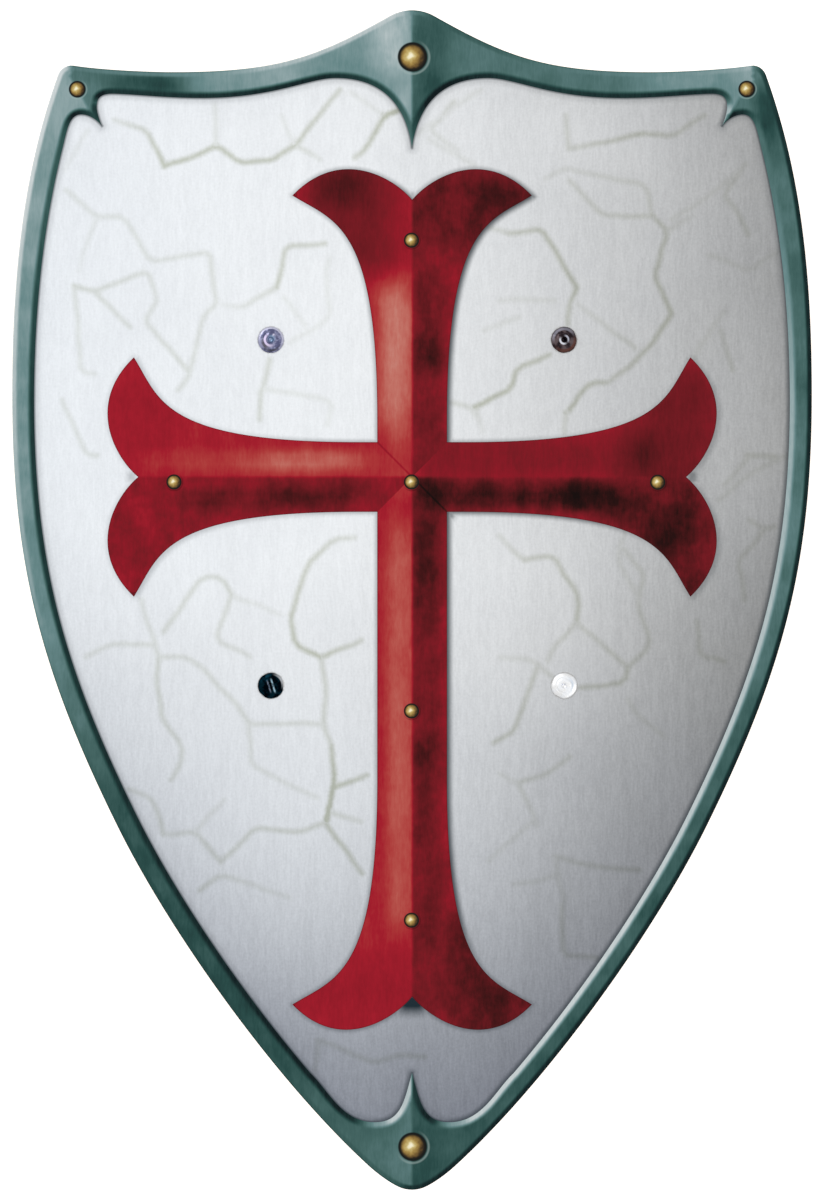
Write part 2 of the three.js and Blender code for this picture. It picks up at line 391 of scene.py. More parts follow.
CRACKS = (
    (0.6, 0.6, ((452, 403), (475, 409))),
    (0.5, 0.2, ((476, 409), (484, 432))),
    (0.6, 0.5, ((567, 411), (565, 432))),
    (0.5, 0.6, ((492, 229), (508, 232))),
    (0.3, 0.2, ((710, 255), (750, 270), (778, 252))),
    (0.3, 0.2, ((672, 220), (710, 195), (745, 167))),
    (0.3, 0.3, ((416, 135), (480, 90))),
    (0.3, 0.3, ((430, 140), (475, 166))),
    (0.2, 0.3, ((725, 312), (700, 345), (690, 372))),
    (0.3, 0.3, ((720, 500), (755, 470), (790, 455))),
    (0.3, 0.3, ((636, 480), (618, 560), (640, 600))),
    (0.5, 1.5, ((115, 120), (148, 131), (165, 167))),
    (1.4, 1.3, ((165, 167), (217, 146), (240, 162), (272, 160), (296, 145))),
    (0.8, 0.4, ((296, 145), (320, 160))),
    (1.2, 0.9, ((296, 145), (340, 90))),
    (0.9, 1.8, ((355, 158), (367, 148), (385, 115), (398, 111))),
    (0.3, 0.3, ((352, 93), (380, 113))),
    (0.5, 0.6, ((67, 190), (97, 217), (125, 216), (150, 262), (210, 252), (217, 303))),
    (0.6, 0.6, ((217, 303), (203, 318), (190, 375), (178, 390))),
    (0.4, 0.2, ((97, 217), (78, 270))),
    (0.9, 0.5, ((75, 286), (95, 292), (148, 271), (157, 300))),
    (0.5, 0.7, ((157, 300), (145, 322), (188, 370))),
    (0.7, 0.6, ((95, 292), (130, 327))),
    (0.6, 0.4, ((75, 286), (82, 372), (95, 374))),
    (0.9, 1.2, ((325, 243), (287, 246), (277, 288))),
    (0.8, 0.1, ((277, 288), (240, 308), (217, 303))),
    (0.3, 0.3, ((285, 298), (305, 325))),
    (0.3, 0.3, ((290, 342), (312, 330), (330, 318), (327, 285), (329, 258))),
    (0.8, 0.8, ((271, 360), (262, 390), (260, 420))),
    (0.4, 0.3, ((262, 388), (320, 398), (333, 402), (328, 425))),
    (0.5, 0.6, ((63, 400), (80, 440), (88, 455), (98, 456))),
    (0.3, 0.2, ((88, 130), (65, 170))),
    (0.4, 0.5, ((215, 105), (217, 146))),
    (0.3, 0.3, ((283, 115), (295, 145))),
    (0.5, 0.6, ((566, 115), (569, 149))),
    (0.6, 1.0, ((569, 149), (645, 134))),
    (0.9, 0.5, ((645, 134), (672, 137), (705, 115))),
    (0.3, 0.5, ((545, 178), (565, 168), (648, 186), (651, 215))),
    (0.7, 1.0, ((651, 215), (668, 232), (655, 275), (672, 313))),
    (1.0, 0.7, ((672, 313), (652, 345), (625, 370), (608, 382))),
    (0.9, 1.2, ((608, 382), (592, 382), (566, 413))),
    (0.5, 0.6, ((570, 180), (603, 215), (650, 217))),
    (0.4, 0.2, ((668, 232), (693, 215))),
    (0.4, 0.5, ((746, 165), (724, 195), (740, 215), (748, 235))),
    (0.9, 1.2, ((508, 233), (543, 230), (577, 287))),
    (1.2, 0.8, ((577, 287), (571, 300), (568, 325))),
    (1.0, 1.4, ((550, 355), (518, 367), (512, 388), (472, 408))),
    (0.5, 0.3, ((472, 408), (479, 420))),
    (0.3, 0.5, ((578, 305), (635, 348))),
    (0.3, 0.3, ((485, 330), (520, 318))),
    (0.3, 0.3, ((500, 300), (555, 300))),
    (0.3, 0.5, ((722, 330), (733, 370))),
    (0.6, 0.3, ((455, 102), (430, 130), (458, 150))),
    (0.6, 1.1, ((355, 537), (335, 540), (310, 562))),
    (1.1, 1.5, ((310, 562), (290, 618), (296, 645), (322, 658))),
    (1.3, 0.8, ((322, 658), (362, 640))),
    (0.8, 0.8, ((322, 658), (327, 700), (323, 724), (332, 745))),
    (1.2, 2.2, ((332, 745), (335, 780), (328, 810), (325, 822))),
    (0.6, 0.6, ((323, 724), (250, 724), (238, 705), (205, 670), (190, 658), (160, 657))),
    (0.5, 0.4, ((250, 724), (252, 765), (290, 785), (318, 797))),
    (0.6, 0.5, ((160, 657), (155, 645), (148, 620), (142, 600))),
    (0.6, 0.5, ((155, 645), (110, 644), (87, 657))),
    (0.8, 0.6, ((160, 657), (157, 680), (163, 720), (182, 745), (182, 765), (172, 780))),
    (0.7, 0.8, ((163, 632), (203, 577), (222, 577), (232, 595))),
    (0.7, 0.5, ((232, 595), (217, 640), (250, 657))),
    (0.4, 0.3, ((232, 595), (280, 613))),
    (0.4, 0.7, ((500, 535), (515, 552), (525, 560))),
    (0.8, 1.0, ((525, 560), (555, 556), (580, 600), (577, 622))),
    (0.6, 0.4, ((577, 622), (553, 650), (548, 662))),
    (0.5, 0.6, ((577, 622), (628, 667))),
    (0.6, 0.4, ((628, 667), (648, 650), (649, 635), (638, 605), (645, 575), (625, 550))),
    (0.8, 0.8, ((628, 667), (625, 683), (580, 688))),
    (0.3, 0.5, ((500, 657), (530, 660), (553, 676))),
    (0.7, 0.9, ((538, 665), (528, 695), (515, 730), (495, 743))),
    (0.3, 0.3, ((630, 700), (640, 718), (665, 737))),
    (0.5, 0.5, ((747, 455), (775, 457))),
    (0.4, 0.3, ((750, 455), (725, 485))),
    (0.4, 0.4, ((750, 520), (765, 530), (775, 527))),
    (0.4, 0.4, ((765, 530), (740, 560), (745, 600))),
    (0.4, 0.5, ((697, 620), (700, 655), (725, 662))),
    (0.5, 0.7, ((130, 790), (150, 797), (160, 815), (164, 835))),
    (0.5, 0.7, ((164, 835), (195, 832), (222, 862))),
    (0.7, 0.8, ((222, 862), (255, 828), (300, 832), (325, 822))),
    (0.4, 0.3, ((195, 832), (225, 800))),
    (0.7, 0.3, ((200, 890), (222, 875), (245, 882), (290, 898))),
    (1.2, 0.9, ((325, 822), (345, 848), (363, 873))),
    (1.4, 1.0, ((337, 787), (367, 775))),
    (0.7, 0.5, ((330, 812), (362, 822))),
    (0.4, 0.5, ((318, 1040), (350, 1052), (375, 1063), (400, 1055), (425, 1057))),
    (0.4, 0.3, ((320, 1040), (315, 1070))),
    (0.5, 0.6, ((570, 757), (550, 773), (517, 783))),
    (0.5, 0.3, ((517, 783), (530, 805), (537, 825))),
    (0.3, 0.3, ((517, 783), (500, 775))),
    (0.3, 0.3, ((535, 820), (500, 850), (490, 860))),
    (0.4, 0.5, ((555, 857), (580, 865), (640, 870))),
    (0.3, 0.3, ((560, 875), (515, 885))),
    (0.3, 0.3, ((555, 857), (560, 880), (565, 900))),
    (0.5, 0.5, ((563, 905), (563, 955), (598, 958))),
)


@dataclass(frozen=True)
class Crackle:
    """The net of drawn cracks.

    Each crack has its strength at its first and last end and the places of its bends, counted in
    steps to the right and down from the corner.
    """

    cracks: tuple = CRACKS
    step: float = 0.4
    corner: tuple[float, float] = (-165.0, 240.0)
    bend: float = 1.8
    bend_limit: float = 0.35
    wander: float = 0.7
    wander_rate: float = 0.11
    wander_seeds: tuple[float, float] = (3.0, 9.0)

    def lines(self, spacing: float) -> list[np.ndarray]:
        """The cracks as they run on the board.

        Args:
            spacing: Distance between places.

        Returns:
            For each crack its places and strengths, one row each.
        """
        lines = []
        for first, last, steps in self.cracks:
            rows = np.column_stack([np.array(steps, float), np.linspace(first, last, len(steps))])
            rows[:, 0] = self.corner[0] + rows[:, 0] * self.step
            rows[:, 1] = self.corner[1] - rows[:, 1] * self.step
            softened = [rows[0]]
            for before, here, after in zip(rows, rows[1:], rows[2:]):
                for other in (before, after):
                    reach = np.linalg.norm(other[:2] - here[:2])
                    softened.append(here + (other - here) * min(self.bend_limit, self.bend / reach))
            line = spaced(np.array(softened + [rows[-1]]), spacing)
            for row in line:
                for axis, seed in enumerate(self.wander_seeds):
                    here = Vector((row[0] * self.wander_rate, row[1] * self.wander_rate, seed))
                    row[axis] += self.wander * noise.noise(here)
            lines.append(line)
        return lines

    def measure(self, places: np.ndarray) -> tuple[np.ndarray, np.ndarray]:
        """Distance from each place to the nearest crack, and how strong the crack is there."""
        rows = np.concatenate(self.lines(0.25))
        tree = search_tree(rows)
        found = [tree.find((x, y, 0.0)) for x, y in places]
        gaps = np.array([hit[2] for hit in found])
        return gaps, rows[[hit[1] for hit in found], 2]


# Meshes


def linear(red: int, green: int, blue: int) -> tuple[float, float, float, float]:
    """A colour that is given as it shows on a screen, 0 to 255, as a shader takes it."""
    return *((value / 255) ** 2.2 for value in (red, green, blue)), 1.0


def select_only(obj: bpy.types.Object) -> bpy.types.Object:
    """Deselects everything else and makes the object active."""
    bpy.ops.object.select_all(action="DESELECT")
    obj.select_set(True)
    bpy.context.view_layer.objects.active = obj
    return obj


def new_piece(name: str, places: np.ndarray, faces: list) -> bpy.types.Object:
    """A mesh object from places in millimetres and from its faces."""
    mesh = bpy.data.meshes.new(name)
    mesh.from_pydata((np.asarray(places) * MM).tolist(), [], faces)
    obj = bpy.data.objects.new(name, mesh)
    bpy.context.scene.collection.objects.link(obj)
    return select_only(obj)


def apply_modifier(obj: bpy.types.Object, kind: str, **settings: object) -> None:
    """Adds a modifier with these settings and applies it.

    Args:
        obj: The piece.
        kind: The modifier's type.
        settings: Values for the modifier's properties.
    """
    select_only(obj)
    modifier = obj.modifiers.new(kind.title(), kind)
    for key, value in settings.items():
        setattr(modifier, key, value)
    bpy.ops.object.modifier_apply(modifier=modifier.name)


def close_mesh(merge: float = 0.0) -> None:
    """Merges doubles of the active piece within a distance, and turns its faces outwards."""
    bpy.ops.object.mode_set(mode="EDIT")
    bpy.ops.mesh.select_all(action="SELECT")
    if merge:
        bpy.ops.mesh.remove_doubles(threshold=merge)
    bpy.ops.mesh.normals_make_consistent(inside=False)
    bpy.ops.object.mode_set(mode="OBJECT")


def set_attribute(obj: bpy.types.Object, name: str, values: np.ndarray) -> None:
    """Writes one number to each vertex of the piece, under this name."""
    layer = obj.data.attributes.new(name, "FLOAT", "POINT")
    layer.data.foreach_set("value", np.asarray(values, np.float32))


def vertex_places(obj: bpy.types.Object) -> np.ndarray:
    """The places of the piece's vertices, in millimetres."""
    places = np.zeros(len(obj.data.vertices) * 3)
    obj.data.vertices.foreach_get("co", places)
    return places.reshape(-1, 3) / MM


@dataclass
class Sheet:
    """A flat sheet of triangles with given rings among its edges and points along its traces."""

    rings: list[Line]
    holes: list[Line]
    fine: float
    coarse_every: int
    near: float
    traces: list[Line] = field(default_factory=list)
    near_trace: float = 2.8
    clear: float = 0.55

    def inside(self, places: np.ndarray) -> np.ndarray:
        """Which of the places lie inside the outer ring."""
        outer = self.rings[0]
        return Contour([np.vstack([outer, outer[:1]])]).holds(places)

    def grid(self) -> Line:
        """Places inside, closer together near the lines than far from them."""
        fixed = search_tree(np.concatenate(self.rings + self.holes))
        gap_kept = self.fine * self.clear
        kept, cells = [], set()
        for trace in self.traces:
            for x, y in trace[:, :2]:
                cell = (round(x / gap_kept), round(y / gap_kept))
                if cell not in cells and fixed.find((x, y, 0.0))[2] > gap_kept:
                    cells.add(cell)
                    kept.append((x, y))
        traced = search_tree(kept) if kept else None
        low, high = self.rings[0].min(0), self.rings[0].max(0)
        for j, y in enumerate(np.arange(low[1], high[1], self.fine * 0.87)):
            for i, x in enumerate(np.arange(low[0], high[0], self.fine)):
                here = (x + (j % 2) * self.fine / 2, y, 0.0)
                coarse = j % self.coarse_every == 0 and i % self.coarse_every == 0
                gap = fixed.find(here)[2]
                trace_gap = traced.find(here)[2] if traced else self.near
                if min(gap, trace_gap) < gap_kept:
                    continue
                if coarse or gap < self.near or trace_gap < self.near_trace:
                    kept.append(here[:2])
        places = np.array(kept)
        return places[self.inside(places)]

    def build(self) -> tuple[np.ndarray, list[tuple[int, ...]]]:
        """Triangulates the sheet.

        Returns:
            The places, one row each, and the triangles, facing up.
        """
        loops = self.rings + self.holes
        places = np.concatenate(loops + [self.grid()])
        edges, start = [], 0
        for loop in loops:
            count = len(loop)
            edges += [(start + k, start + (k + 1) % count) for k in range(count)]
            start += count
        made = geometry.delaunay_2d_cdt([Vector(p) for p in places], edges, [], 0, 1e-5)
        flat = np.array([tuple(v) for v in made[0]])
        triangles = np.array([f for f in made[2] if len(f) == 3])
        middles = flat[triangles].mean(axis=1)
        keep = self.inside(middles)
        for hole in self.holes:
            centre = hole.mean(axis=0)
            radius = np.linalg.norm(hole[0] - centre)
            keep &= np.linalg.norm(middles - centre, axis=1) > radius * 0.98
        corners = flat[triangles[keep]]
        first, second = corners[:, 1] - corners[:, 0], corners[:, 2] - corners[:, 0]
        up = first[:, 0] * second[:, 1] - first[:, 1] * second[:, 0] > 0
        ordered = np.where(up[:, None], triangles[keep], triangles[keep][:, ::-1])
        return flat, [tuple(int(v) for v in triangle) for triangle in ordered]


# Node trees


class Graph:
    """Short calls that build the node tree of a material or of a node group."""

    def __init__(self, tree: bpy.types.NodeTree) -> None:
        """Takes the tree that the nodes go into."""
        self.tree = tree

    def add(self, kind: str, **settings: object) -> bpy.types.Node:
        """A new node of this kind with these settings."""
        node = self.tree.nodes.new(kind)
        for key, value in settings.items():
            setattr(node, key, value)
        return node

    def feed(self, socket: Socket, value: object) -> None:
        """Links a socket to the input, or sets the input's own value."""
        if isinstance(value, bpy.types.NodeSocket):
            self.tree.links.new(value, socket)
        else:
            socket.default_value = value

    def math(self, operation: str, first: object, second: object = 0.0, clamp: bool = False) -> Socket:
        """The result of a Math node."""
        node = self.add("ShaderNodeMath", operation=operation, use_clamp=clamp)
        self.feed(node.inputs[0], first)
        self.feed(node.inputs[1], second)
        return node.outputs[0]

    def times(self, first: object, second: object, clamp: bool = False) -> Socket:
        """Two numbers multiplied."""
        return self.math("MULTIPLY", first, second, clamp)

    def plus(self, first: object, second: object) -> Socket:
        """Two numbers added."""
        return self.math("ADD", first, second)

    def minus(self, first: object, second: object) -> Socket:
        """The second number taken from the first."""
        return self.math("SUBTRACT", first, second)

    def size(self, value: object) -> Socket:
        """A number without its sign."""
        return self.math("ABSOLUTE", value)

    def most(self, first: object, second: object) -> Socket:
        """The larger of two numbers."""
        return self.math("MAXIMUM", first, second)

    def vector(self, operation: str, first: object, second: object = (0.0, 0.0, 0.0)) -> bpy.types.Node:
        """A Vector Math node."""
        node = self.add("ShaderNodeVectorMath", operation=operation)
        self.feed(node.inputs[0], first)
        self.feed(node.inputs[1], second)
        return node

    def ease(
        self, value: object, low: float, high: float, first: object = 0.0, last: object = 1.0
    ) -> Socket:
        """The value eased from first, where it is low, to last, where it is high."""
        node = self.add("ShaderNodeMapRange", interpolation_type="SMOOTHSTEP")
        for socket, given in zip(node.inputs, (value, low, high, first, last)):
            self.feed(socket, given)
        return node.outputs[0]

    def blend(self, share: object, first: object, second: object) -> Socket:
        """Two numbers mixed, with the share of the second."""
        node = self.add("ShaderNodeMix", data_type="FLOAT")
        for index, given in ((0, share), (2, first), (3, second)):
            self.feed(node.inputs[index], given)
        return node.outputs[0]

    def mix(self, share: object, first: object, second: object, blend: str = "MIX") -> Socket:
        """Two colours mixed, with the share of the second."""
        node = self.add("ShaderNodeMix", data_type="RGBA", blend_type=blend)
        self.feed(node.inputs[0], share)
        self.feed(node.inputs[6], first)
        self.feed(node.inputs[7], second)
        return node.outputs[2]

    def ramp(self, value: object, stops: list[tuple[float, Colour]]) -> Socket:
        """A colour ramp over stops of a place and a screen colour."""
        node = self.add("ShaderNodeValToRGB")
        elements = node.color_ramp.elements
        for index, (place, colour) in enumerate(stops):
            element = elements[index] if index < 2 else elements.new(place)
            element.position = place
            element.color = linear(*colour)
        self.feed(node.inputs[0], value)
        return node.outputs[0]

    def noise(self, place: object, scale: float, detail: float = 2.0, roughness: float = 0.5) -> Socket:
        """Smooth noise from 0 to 1."""
        node = self.add("ShaderNodeTexNoise")
        self.feed(node.inputs["Vector"], place)
        for name, given in (("Scale", scale), ("Detail", detail), ("Roughness", roughness)):
            self.feed(node.inputs[name], given)
        return node.outputs["Fac"]

    def stretch(self, place: object, scale: tuple[float, float, float]) -> Socket:
        """The place with each of its coordinates scaled."""
        node = self.add("ShaderNodeMapping")
        self.feed(node.inputs["Vector"], place)
        self.feed(node.inputs["Scale"], scale)
        return node.outputs[0]

    def place(self) -> Socket:
        """Object coordinates."""
        return self.add("ShaderNodeTexCoord").outputs["Object"]

    def split(self, place: object) -> tuple[Socket, Socket, Socket]:
        """The three coordinates of a place."""
        node = self.add("ShaderNodeSeparateXYZ")
        self.feed(node.inputs[0], place)
        return node.outputs[0], node.outputs[1], node.outputs[2]

    def attribute(self, name: str) -> Socket:
        """A number that the mesh carries under this name."""
        return self.add("ShaderNodeAttribute", attribute_name=name).outputs["Fac"]

    def by_side(self, name: str, x: object) -> Socket:
        """A number that the mesh carries twice, for the left and for the right of the middle."""
        right = self.ease(x, -0.0008, 0.0008)
        return self.blend(right, self.attribute(f"{name}_left"), self.attribute(f"{name}_right"))

    def bump(self, height: object, strength: float, distance: float) -> Socket:
        """A normal that is bumped by a height."""
        node = self.add("ShaderNodeBump")
        self.feed(node.inputs["Height"], height)
        self.feed(node.inputs["Strength"], strength)
        self.feed(node.inputs["Distance"], distance)
        return node.outputs[0]

    def dress(self, shader: bpy.types.Node, colour: Socket, roughness: object, normal: object) -> None:
        """Feeds colour, roughness and normal to a shader."""
        self.feed(shader.inputs["Base Color"], colour)
        self.feed(shader.inputs["Roughness"], roughness)
        self.feed(shader.inputs["Normal"], normal)

    def use(self, group: bpy.types.NodeTree, **values: object) -> bpy.types.Node:
        """A node group with these values on its inputs."""
        node = self.add("ShaderNodeGroup", node_tree=group)
        for key, value in values.items():
            self.feed(node.inputs[key], value)
        return node


def new_group(name: str, inputs: list[tuple[str, str]], outputs: list[tuple[str, str]]) -> tuple:
    """An empty shader node group.

    Args:
        name: Its name.
        inputs: Names and kinds of its input sockets.
        outputs: Names and kinds of its output sockets.

    Returns:
        Its graph, its input node's outputs and its output node's inputs.
    """
    tree = bpy.data.node_groups.new(name, "ShaderNodeTree")
    for in_out, sockets in (("INPUT", inputs), ("OUTPUT", outputs)):
        for title, kind in sockets:
            tree.interface.new_socket(name=title, in_out=in_out, socket_type=f"NodeSocket{kind}")
    graph = Graph(tree)
    return graph, graph.add("NodeGroupInput").outputs, graph.add("NodeGroupOutput").inputs


class Effects:
    """The node groups that more than one material uses."""

    def __init__(self) -> None:
        """Builds each group once."""
        self.grain = self.wood_grain()
        self.mottle = self.soft_mottle()
        self.stud = self.printed_stud()

    def wood_grain(self) -> bpy.types.NodeTree:
        """Fine fibres along Y, as a value about 0.5 and as a height."""
        graph, given, result = new_group(
            "wood_grain",
            [("Place", "Vector"), ("Scale", "Float")],
            [("Grain", "Float"), ("Height", "Float")],
        )
        wave = graph.noise(graph.stretch(given["Place"], (60.0, 24.0, 1.0)), 1.0, 2.0, 0.5)
        shift = graph.add("ShaderNodeCombineXYZ")
        graph.feed(shift.inputs[0], graph.times(wave, 0.004))
        waved = graph.vector("ADD", given["Place"], shift.outputs[0]).outputs[0]
        place = graph.vector("SCALE", waved)
        graph.feed(place.inputs[3], given["Scale"])
        fine = graph.noise(graph.stretch(place.outputs[0], (1.0, 0.16, 1.0)), 1200.0, 4.0, 0.65)
        broad = graph.noise(graph.stretch(place.outputs[0], (1.0, 0.07, 1.0)), 300.0, 3.0, 0.5)
        grain = graph.plus(graph.times(fine, 0.75), graph.times(broad, 0.25))
        graph.feed(result["Grain"], graph.ease(grain, 0.3, 0.7))
        graph.feed(result["Height"], grain)
        return graph.tree

    def soft_mottle(self) -> bpy.types.NodeTree:
        """Cloudy patches as a mask, with soft edges."""
        graph, given, result = new_group(
            "soft_mottle",
            [("Place", "Vector"), ("Scale", "Float"), ("Level", "Float")],
            [("Mask", "Float")],
        )
        cloud = graph.noise(given["Place"], given["Scale"], 4.0, 0.55)
        mask = graph.minus(cloud, given["Level"])
        graph.feed(result["Mask"], graph.ease(mask, -0.12, 0.12))
        return graph.tree

    def printed_stud(self) -> bpy.types.NodeTree:
        """A brass stud drawn on the print: colour with a painted glint and shade, round mask, and foot
        ring at lower right.
        """
        graph, given, result = new_group(
            "printed_stud",
            [("Place", "Vector"), ("Centre", "Vector"), ("Radius", "Float")],
            [("Colour", "Color"), ("Mask", "Float"), ("Ring", "Float")],
        )
        flat = graph.vector("MULTIPLY", given["Place"], (1.0, 1.0, 0.0)).outputs[0]
        away = graph.vector("SUBTRACT", flat, given["Centre"]).outputs[0]
        scaled = graph.vector("SCALE", away)
        graph.feed(scaled.inputs[3], graph.math("DIVIDE", 1.0, given["Radius"]))
        from_middle = graph.vector("LENGTH", scaled.outputs[0]).outputs["Value"]
        from_glint = graph.vector("DISTANCE", scaled.outputs[0], (-0.16, 0.08, 0.0)).outputs["Value"]
        # Noise that makes the painted glint and shading of the ball uneven.
        painted_shading_blots = graph.minus(graph.noise(scaled.outputs[0], 2.6, 2.0, 0.5), 0.5)
        ball = graph.ramp(
            graph.plus(from_glint, graph.times(painted_shading_blots, 0.5)),
            [
                (0.0, (255, 252, 228)),
                (0.12, (250, 240, 204)),
                (0.26, (212, 192, 128)),
                (0.46, (172, 142, 78)),
                (0.68, (122, 96, 54)),
                (0.9, (66, 52, 36)),
            ],
        )
        # Painted shade: a dark rim round the edge of the ball.
        rim = graph.ease(from_middle, 0.66, 0.88)
        graph.feed(result["Colour"], graph.mix(rim, ball, linear(28, 30, 28)))
        graph.feed(result["Mask"], graph.ease(from_middle, 1.04, 0.94))
        # A ring at the foot, on the lower right only, which add_studs paints as highlight or shadow.
        heading = graph.vector("NORMALIZE", scaled.outputs[0]).outputs[0]
        lee = graph.vector("DOT_PRODUCT", heading, (0.7, -0.7, 0.0)).outputs["Value"]
        from_ring = graph.size(graph.minus(from_middle, 1.12))
        ring = graph.times(graph.ease(from_ring, 0.13, 0.0), graph.ease(lee, -0.6, 0.7))
        graph.feed(result["Ring"], ring)
        return graph.tree

    def add_studs(self, graph: Graph, colour: Socket, studs: tuple, ring: float, tint: Colour) -> Socket:
        """Draws brass studs over a colour.

        Args:
            graph: Nodes of the material.
            colour: What lies under the studs.
            studs: Place and radius of each stud, in millimetres.
            ring: How strong the ring at the foot of a stud is, a painted highlight or shadow on its
                lower right.
            tint: The ring's screen colour: pale for a painted highlight, dark for a painted shadow.

        Returns:
            The colour with the studs.
        """
        for x, y, radius in studs:
            centre = (x * MM, y * MM, 0.0)
            stud = graph.use(self.stud, Place=graph.place(), Centre=centre, Radius=radius * MM)
            colour = graph.mix(graph.times(stud.outputs["Ring"], ring), colour, linear(*tint))
            colour = graph.mix(stud.outputs["Mask"], colour, stud.outputs["Colour"])
        return colour


def new_material(name: str) -> tuple[bpy.types.Material, Graph, bpy.types.Node]:
    """A material with nodes: itself, its graph and its Principled BSDF."""
    material = bpy.data.materials.new(name)
    material.use_nodes = True
    graph = Graph(material.node_tree)
    return material, graph, material.node_tree.nodes["Principled BSDF"]


@dataclass(frozen=True)
class PrintFinish:
    """What the three printed areas share: a dull satin lacquer over wood."""

    roughness: float = 0.6
    specular: float = 0.08
    grain_depth: float = 0.00006

    def set(self, graph: Graph, shader: bpy.types.Node, colour: Socket, height: Socket) -> None:
        """Sets colour, gloss and the relief of the grain on a shader."""
        graph.dress(shader, colour, self.roughness, graph.bump(height, 0.5, self.grain_depth))
        graph.feed(shader.inputs["Specular IOR Level"], self.specular)


@dataclass(frozen=True)
class FieldPrint:
    """The pale field: cool white to grey, with cracks, soft shadows and chips at the rivets."""

    effects: Effects
    finish: PrintFinish
    rivets: tuple[tuple[float, float], ...]
    crack_half: float = 2.3
    chip_reach: float = 6.0
    stain: Colour = (178, 182, 194)
    crack_tint: Colour = (206, 208, 192)
    shadow_tint: Colour = (34, 48, 56)
    chip_tint: Colour = (168, 164, 160)

    def shadow(self, graph: Graph, place: Socket) -> Socket:
        """The drawn shadows of the frame and of the cross, from distances that the mesh carries."""
        x, y, _ = graph.split(place)
        depth = graph.attribute("border_depth")
        shade = graph.attribute("shade_side")
        near = graph.ease(depth, 1.4, -0.2, 0.0, 0.85)
        far = graph.ease(depth, 3.6, 0.0, 0.0, 0.26)
        in_shade = graph.most(near, far)
        in_light = graph.ease(depth, 2.6, -0.1, 0.0, 0.72)
        frame_part = graph.blend(shade, in_light, in_shade)
        hug = graph.ease(graph.attribute("cross_depth"), -2.1, 0.3, 0.0, 0.46)
        hug = graph.times(hug, graph.ease(graph.size(x), 0.03, 0.07, 1.0, 0.4))
        strength = graph.times(
            graph.ease(y, -0.16, -0.12, 0.15, 0.88), graph.ease(x, -0.02, 0.0, 0.4, 1.0)
        )
        cast = graph.ease(graph.attribute("cast_depth"), -2.1, 1.2)
        strength = graph.times(strength, graph.ease(x, 0.1, 0.065, 0.4, 1.0))
        cast = graph.times(cast, strength)
        deepest = graph.most(graph.most(frame_part, hug), cast)
        # Also the painted shadows in the notches and an inner corner of the cross.
        return graph.most(deepest, graph.attribute("notch_shade"))

    def build(self) -> bpy.types.Material:
        """Makes the material."""
        material, graph, shader = new_material("field_print")
        place = graph.place()
        grain = graph.use(self.effects.grain, Place=place, Scale=1.0)
        level = graph.attribute("field_light")
        plain = graph.mix(level, linear(120, 121, 121), linear(249, 250, 250))
        cool = graph.mix(level, linear(112, 118, 135), linear(240, 247, 255))
        colour = graph.mix(graph.attribute("field_cool"), plain, cool)
        patch = graph.use(self.effects.mottle, Place=place, Scale=26.0, Level=0.5).outputs[0]
        colour = graph.mix(graph.times(patch, 0.05), colour, linear(*self.stain))
        speck = graph.ease(graph.noise(place, 1000.0, 2.0, 0.6), 0.3, 0.7)
        fibre = graph.minus(graph.blend(0.35, grain.outputs["Grain"], speck), 0.5)
        fibre = graph.times(fibre, graph.blend(level, 0.29, 0.13))
        textured = graph.vector("SCALE", colour)
        graph.feed(textured.inputs[3], graph.plus(fibre, graph.blend(level, 0.89, 0.985)))
        colour = textured.outputs[0]
        wobble = graph.times(graph.noise(place, 700.0, 2.0, 0.6), 0.9)
        gap = graph.plus(graph.attribute("crack_gap"), graph.minus(wobble, 0.45))
        crack = graph.ease(gap, self.crack_half, -0.2)
        depth = graph.times(graph.attribute("crack_depth"), graph.blend(level, 0.92, 0.66))
        crack = graph.times(crack, depth, clamp=True)
        colour = graph.mix(crack, colour, linear(*self.crack_tint), "MULTIPLY")
        colour = graph.mix(self.shadow(graph, place), colour, linear(*self.shadow_tint))
        chips = graph.times(graph.noise(place, 900.0, 3.0, 0.6), 0.0014)
        flat = graph.vector("MULTIPLY", place, (1.0, 1.0, 0.0)).outputs[0]
        outer, inner = (self.chip_reach + 0.4) * MM, (self.chip_reach - 0.2) * MM
        for x, y in self.rivets:
            away = graph.vector("DISTANCE", flat, (x * MM, y * MM, 0.0)).outputs["Value"]
            ragged = graph.plus(away, chips)
            chip = graph.ease(ragged, outer, inner, 0.0, 0.6)
            colour = graph.mix(chip, colour, linear(*self.chip_tint))
        self.finish.set(graph, shader, colour, grain.outputs["Height"])
        return material


